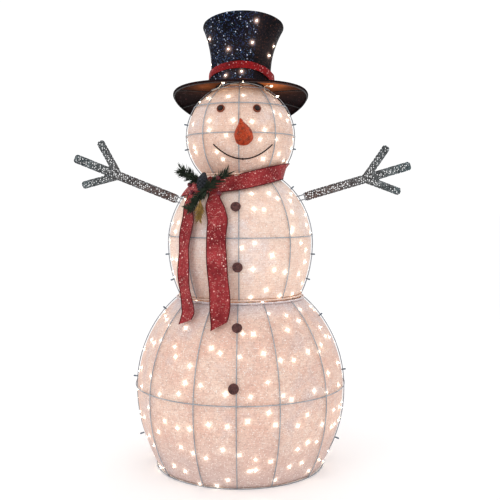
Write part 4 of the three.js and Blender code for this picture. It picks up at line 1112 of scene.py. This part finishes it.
# Face and buttons
buttonMaterial = plainMaterial("buttonWood", paint(104, 64, 60), paint(46, 24, 26), 110.0, 380.0, 0.5, 0.0006,
                               Specular_IOR_Level=0.25)
eyeMaterial = plainMaterial("eyeGloss", paint(40, 14, 10), paint(14, 4, 4), 60.0, 500.0, 0.1, 0.0002,
                            Specular_IOR_Level=0.3)
eyeRim = plainMaterial("eyeRim", paint(150, 76, 48), paint(96, 42, 26), 80.0, 500.0, 0.35, 0.0003,
                       Specular_IOR_Level=0.3)
mouthMaterial = plainMaterial("mouthWire", paint(42, 16, 12), paint(18, 6, 5), 60.0, 400.0, 0.4, 0.0002,
                              Specular_IOR_Level=0.2)
buttonShape = turned([[0, 0], [0.0140, 0.0], [0.0156, 0.0012], [0.0162, 0.0034], [0.0152, 0.0056],
                      [0.0130, 0.0064], [0.0112, 0.0058],
                      [0.0098, 0.0049], [0.0060, 0.0046], [0.0020, 0.0050], [0, 0.0051]], 40)
eyeShape = turned([[0, 0], [0.0092, 0.0], [0.0094, 0.003], [0.0090, 0.0064], [0.0078, 0.0090],
                   [0.0053, 0.0109], [0.0025, 0.0118], [0, 0.0120]], 36)
rimShape = turned([[0, -0.001], [0.0126, -0.001], [0.0134, 0.0008], [0.0134, 0.0056], [0.0122, 0.0070],
                   [0.0106, 0.0064], [0.0096, 0.0044], [0, 0.0040]], 36)
for name, owner, x, z in buttons:
    place = frontPoint(balls[owner], x, z)
    normal = ballNormal(balls[owner], place)
    newPiece(name.replace("_", "Disc"), scattered(buttonShape, place + normal * 0.0003, normal),
             buttonMaterial, owner, [name])
for name, owner, x, z in eyes:
    place = frontPoint(balls[owner], x, z, 0.0085)
    normal = ballNormal(balls[owner], place)
    newPiece(name.replace("_", "Dome"), scattered(eyeShape, place, normal), eyeMaterial, owner, [name])
    newPiece(name.replace("_", "Rim"), scattered(rimShape, place, normal), eyeRim, owner)
lowest = smilePath(71)[35]
knob = scattered(beadShape, lowest + [0, -0.001, 0], np.array([0.0, -1.0, 0.0]), 1.1)
newPiece("mouthSmile", joined([tube(smilePath(70), 0.0023, 8, (0, 0, 1)), knob]), mouthMaterial, "head",
         ["mouth_wire"])

# Nose: a carrot with uneven rings and shallow furrows, its root lying on the head.
carrot, carrotTree, carrotShader = newMaterial("carrotFelt", Specular_IOR_Level=0.2)
carrotAt = places(carrotTree)
carrotPatch = drifted(carrotTree, carrotAt, 30.0, 160.0, 0.5)
streaks = drifted(carrotTree, put(carrotTree, "Mapping",
                                  {"Vector": carrotAt, "Scale": (6.0, 0.8, 6.0)}).outputs[0], 20.0, 50.0, 0.3)
carrotColour = mixed(carrotTree, carrotPatch, paint(198, 72, 32), paint(148, 46, 20))
carrotColour = mixed(carrotTree, spread(carrotTree, streaks, 0.4, 0.95, 0.0, 0.85), carrotColour,
                     paint(92, 30, 16))
# Lighter flecks on the nose are painted glints.
carrotFlakes = flecks(carrotTree, carrotAt, 420.0, 0.12)["Mask"]
carrotColour = mixed(carrotTree, times(carrotTree, carrotFlakes, 0.6), carrotColour, paint(240, 180, 140))
feed(carrotTree, carrotShader, Base_Color=carrotColour,
     Roughness=spread(carrotTree, carrotFlakes, 0.0, 1.0, 0.65, 0.25),
     Normal=bump(carrotTree, maths(carrotTree, "ADD", carrotPatch, carrotFlakes), 0.0006, 0.7))
noseRoot, noseTip = np.array([0.014, -0.172, 1.073]), np.array([0.004, -0.287, 1.122])
noseAxis = noseTip - noseRoot
noseLength = float(np.linalg.norm(noseAxis))
along = np.linspace(0.0, 0.992, 70)
outline = np.interp(along * noseLength, [0, 0.014, 0.034, 0.066, 0.096, noseLength - 0.004, noseLength],
                    [0.026, 0.030, 0.0275, 0.018, 0.009, 0.004, 0.0022])
outline = np.convolve(np.pad(outline, 3, "edge"), np.ones(7) / 7, "valid")
profile = np.stack([np.concatenate([[0], outline, [0]]), np.concatenate([[0], along, [1]]) * noseLength], -1)
nosePoints, noseQuads, noseTris = turned(profile, 48)
turn = np.arctan2(nosePoints[:, 1], nosePoints[:, 0])
lumps = 1 + 0.035 * np.sin(nosePoints[:, 2] * 210 + 1.5
                           * np.sin(turn * 2)) + 0.02 * np.sin(turn * 5 + nosePoints[:, 2] * 40)
nosePoints[:, :2] *= lumps[:, None]
nosePoints = scattered((nosePoints, noseQuads, noseTris), noseRoot, noseAxis)[0]
headSkin = 0.1864  # just outside the head, where the root comes to lie
headCentre = np.array([0, 0, balls["head"]["middle"]])
gap = np.linalg.norm(nosePoints - headCentre, axis=1, keepdims=True)
nosePoints = headCentre + (nosePoints - headCentre) / gap * np.maximum(gap, headSkin)
newPiece("carrotNose", (nosePoints, noseQuads, noseTris), carrot, "head", ["nose"])
print("face made")


# Trim: pine sprigs, a cone and berries.
needleMaterials = {
    "dark": plainMaterial("needlesDark", paint(58, 70, 52), paint(14, 22, 17), 60.0, 500.0, 0.5, 0.0002,
                          Specular_IOR_Level=0.2),
    "gold": plainMaterial("needlesGold", paint(190, 148, 84), paint(74, 70, 36), 70.0, 500.0, 0.5, 0.0002,
                          Specular_IOR_Level=0.2),
}
coneMaterial = plainMaterial("coneScales", paint(56, 60, 68), paint(12, 14, 18), 150.0, 600.0, 0.5, 0.0004,
                             Specular_IOR_Level=0.3)
berryMaterial = plainMaterial("berryGloss", paint(132, 24, 46), paint(52, 6, 22), 50.0, 400.0, 0.15, 0.0002,
                              Specular_IOR_Level=0.4)
needleShape = turned([[0, 0], [0.0008, 0.001], [0.0011, 0.012], [0.0008, 0.022], [0, 0.030]], 4)
sprigs = {
    "pineUpperLeft": {"node": "pine_sprig_upper_left", "start": (-0.126, -0.176, 0.936),
                      "end": (-0.186, -0.158, 0.972),
                      "count": 220, "seed": 5, "kind": "dark", "lean": (0.5, 1.7), "size": 1.1},
    "pineUpperRight": {"node": "pine_sprig_upper_right", "start": (-0.118, -0.200, 0.905),
                       "end": (-0.040, -0.203, 0.960),
                       "count": 190, "seed": 6, "kind": "dark", "lean": (0.3, 1.3), "size": 1.15},
    "pineLower": {"node": "pine_sprig_lower", "start": (-0.096, -0.204, 0.918),
                  "end": (-0.158, -0.200, 0.852),
                  "count": 190, "seed": 7, "kind": "dark", "lean": (0.3, 1.3), "size": 1.15},
    "pineLowerGold": {"node": None, "start": (-0.122, -0.212, 0.878), "end": (-0.124, -0.224, 0.826),
                      "count": 170, "seed": 8, "kind": "gold", "lean": (0.2, 0.9), "size": 1.0},
}
for name, sprig in sprigs.items():
    rng = np.random.default_rng(sprig["seed"])
    start, end = np.array(sprig["start"]), np.array(sprig["end"])
    run = unit(end - start)
    count = sprig["count"]
    share = np.sort(rng.uniform(0.02, 1.0, count))
    ring = rng.uniform(0, 2 * np.pi, count)
    sideA = unit(np.cross(run, [0.2, 0.9, 0.3]))
    sideB = np.cross(run, sideA)
    lean = rng.uniform(*sprig["lean"], count)[:, None]
    away = unit(run + lean * (np.cos(ring)[:, None] * sideA + np.sin(ring)[:, None] * sideB))
    away[:, 1] = -np.abs(away[:, 1]) * 0.8 + 0.15 * away[:, 1]
    foot = start + (end - start) * share[:, None] * 0.95
    stem = tube(start + (end - start) * np.linspace(0, 1, 8)[:, None], np.linspace(0.0017, 0.0009, 8), 6,
                (0.3, 0.9, 0.2))
    shape = joined([stem, scattered(needleShape, foot, away, sprig["size"] * rng.uniform(0.7, 1.1, count))])
    newPiece(name, shape, needleMaterials[sprig["kind"]], "torso",
             [sprig["node"]] if sprig["node"] else ())

# Cone: scales on a spiral from the foot to the tip, each a small cupped diamond.
scaleShape = turned([[0, -0.0012], [0.0050, -0.0004], [0.0066, 0.0016], [0.0046, 0.0026], [0, 0.0018]], 6)
cone = {"place": np.array([-0.117, -0.192, 0.934]), "scales": 64, "step": 2.39996, "tilt": 12,
        "length": 0.054, "swell": 0.0135}
share = (np.arange(cone["scales"]) + 0.5) / cone["scales"]
ring = np.arange(cone["scales"]) * cone["step"]
tilt = math.radians(cone["tilt"])
coneAxis = np.array([math.sin(tilt), 0, math.cos(tilt)])
coneSide, coneOver = np.array([math.cos(tilt), 0, -math.sin(tilt)]), np.array([0.0, 1.0, 0.0])
swell = cone["swell"] * np.sin(np.pi * np.clip(share, 0.06, 0.97)) ** 0.6
ringOut = np.cos(ring)[:, None] * coneSide + np.sin(ring)[:, None] * coneOver
coneSpots = cone["place"] + (share - 0.5)[:, None] * cone["length"] * coneAxis + ringOut * swell[:, None]
coneCore = turned([[0, -0.027], [0.007, -0.024], [0.0125, -0.010], [0.0125, 0.006], [0.007, 0.021],
                   [0, 0.026]], 14)
coneBody = scattered(coneCore, cone["place"], coneAxis)
newPiece("pineConeScales",
         joined([coneBody, scattered(scaleShape, coneSpots, 0.75 * ringOut + 0.65 * coneAxis)]), coneMaterial,
         "torso", ["pinecone"])

# Berries: round, with a small dimpled end and a stalk.
berryShape = joined([
    turned([[0, -0.008], [0.004, -0.0069], [0.0069, -0.004], [0.008, 0], [0.0072, 0.0036], [0.0048, 0.0066],
            [0.0022, 0.0076], [0.0012, 0.0068], [0, 0.0066]], 20),
    turned([[0, 0.0062], [0.0007, 0.0063], [0.0006, 0.0105], [0, 0.0108]], 6),
])
berries = [(-0.158, -0.170, 0.926), (-0.151, -0.184, 0.902), (-0.067, -0.208, 0.946), (-0.063, -0.226, 0.898)]
for i, place in enumerate(berries):
    newPiece(f"berryRound{i + 1}",
             scattered(berryShape, np.array([place]), np.array([[0.3 - 0.2 * i, -0.9, 0.3]])), berryMaterial,
             "torso", [f"berry_{i + 1}"])
print("trim made")


# Arms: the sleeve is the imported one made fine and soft; its mesh of round holes is cut by the shader.
sequin, sequinTree, sequinShader = newMaterial("sequinMesh", Specular_IOR_Level=0.15)
sequinAt = places(sequinTree)
split = put(sequinTree, "SeparateXYZ", {0: sequinAt})
flatAt = put(sequinTree, "CombineXYZ", {0: split.outputs[0], 1: split.outputs[2]}).outputs[0]
sequinCells = put(sequinTree, "TexVoronoi", {"Vector": flatAt, "Scale": 150.0, "Randomness": 0.85},
                  voronoi_dimensions="2D")
holes = spread(sequinTree, sequinCells.outputs["Distance"], 0.28, 0.38)
sequinRandom = put(sequinTree, "SeparateColor", {"Color": sequinCells.outputs["Color"]})
solid = maths(sequinTree, "LESS_THAN", sequinRandom.outputs[0], 0.42)
opacity = maths(sequinTree, "MAXIMUM", holes, solid)
reach = maths(sequinTree, "ABSOLUTE", split.outputs[0])
tipShare = spread(sequinTree, reach, 0.26, 0.56)
strand = mixed(sequinTree, tipShare, paint(122, 98, 92), paint(96, 116, 120))
sequinPatch = drifted(sequinTree, sequinAt, 60.0, 300.0, 0.6)
strand = mixed(sequinTree, spread(sequinTree, sequinPatch, 0.0, 0.9, 0.1, 1.0), strand, paint(34, 31, 33))
# Bright flecks on the strands are painted glints.
sequinFlakes = flecks(sequinTree, sequinAt, 300.0, 0.42)["Mask"]
strand = mixed(sequinTree, times(sequinTree, sequinFlakes, 0.8), strand, paint(190, 196, 196))
feed(sequinTree, sequinShader, Base_Color=strand, Alpha=opacity,
     Roughness=spread(sequinTree, sequinFlakes, 0.0, 1.0, 0.5, 0.15),
     Normal=bump(sequinTree, maths(sequinTree, "ADD", sequinFlakes, sequinPatch), 0.0006, 0.7))
sleeveMesh = {"weld": 0.00002, "voxel": 0.0016, "smooth": 3, "strip": 0.075}
for name, pieceName in (("arm_left", "armSleeveLeft"), ("arm_right", "armSleeveRight")):
    mesh = nodes[name + "_cover"].data.copy()
    mesh.materials.clear()
    mesh.materials.append(sequin)
    sleeve = bpy.data.objects.new(pieceName, mesh)
    bpy.context.scene.collection.objects.link(sleeve)
    weld = sleeve.modifiers.new("weld", "WELD")
    weld.merge_threshold = sleeveMesh["weld"]
    fine = sleeve.modifiers.new("fine", "REMESH")
    fine.mode = "VOXEL"
    fine.voxel_size = sleeveMesh["voxel"]
    fine.use_smooth_shade = True
    soft = sleeve.modifiers.new("soft", "SMOOTH")
    soft.iterations = sleeveMesh["smooth"]
    graph = bpy.context.evaluated_depsgraph_get()
    made = bpy.data.meshes.new_from_object(sleeve.evaluated_get(graph))
    sleeve.modifiers.clear()
    sleeve.data = made
    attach(sleeve, name)
    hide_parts(name + "_cover")
    areas = np.zeros(len(made.polygons))
    made.polygons.foreach_get("area", areas)
print("arms made")


# Floor, world and lights: a plain white floor under even soft light with a gentle key from the front left.
floorMaterial, floorTree, floorShader = newMaterial("floor", Specular_IOR_Level=0.0, Roughness=1.0,
                                                    Emission_Strength=0.12)
floorNoise = drifted(floorTree, places(floorTree), 2.0, 30.0, 0.3)
feed(floorTree, floorShader,
     Base_Color=mixed(floorTree, floorNoise, (0.90, 0.90, 0.91, 1), (0.92, 0.92, 0.93, 1)))
floorShader.inputs["Emission Color"].default_value = (1, 1, 1, 1)
floorMesh = bpy.data.meshes.new("floor")
floorMesh.from_pydata([(-60, -60, 0), (60, -60, 0), (60, 60, 0), (-60, 60, 0)], [], [(0, 1, 2, 3)])
floorMesh.materials.append(floorMaterial)
floor = bpy.data.objects.new("floor", floorMesh)
bpy.context.scene.collection.objects.link(floor)

world = bpy.data.worlds.new("softWhite")
bpy.context.scene.world = world
world.use_nodes = True
background = world.node_tree.nodes["Background"]
background.inputs["Color"].default_value = (1, 1, 1, 1)
seen = world.node_tree.nodes.new("ShaderNodeLightPath")
level = put(world.node_tree, "MapRange", {0: seen.outputs["Is Camera Ray"], 3: 0.98, 4: 1.05})
world.node_tree.links.new(level.outputs[0], background.inputs["Strength"])


def softLight(name, place, target, size, power, tint=(1, 1, 1)):
    light = bpy.data.lights.new(name, "AREA")
    light.shape = "DISK"
    light.size = size
    light.energy = power
    light.color = tint
    lamp = bpy.data.objects.new(name, light)
    lamp.location = place
    lamp.rotation_euler = (Vector(target) - Vector(place)).to_track_quat("-Z", "Y").to_euler()
    bpy.context.scene.collection.objects.link(lamp)


softLight("keyLight", (-2.2, -2.8, 2.4), (0, 0, 0.8), 1.6, 16)
softLight("fillLight", (2.6, -2.4, 1.6), (0, 0, 0.7), 2.2, 5, (1.0, 0.97, 0.94))
softLight("rearLight", (0.8, 3.0, 2.4), (0, 0, 0.9), 2.0, 8)
bpy.context.scene.view_settings.view_transform = "Standard"
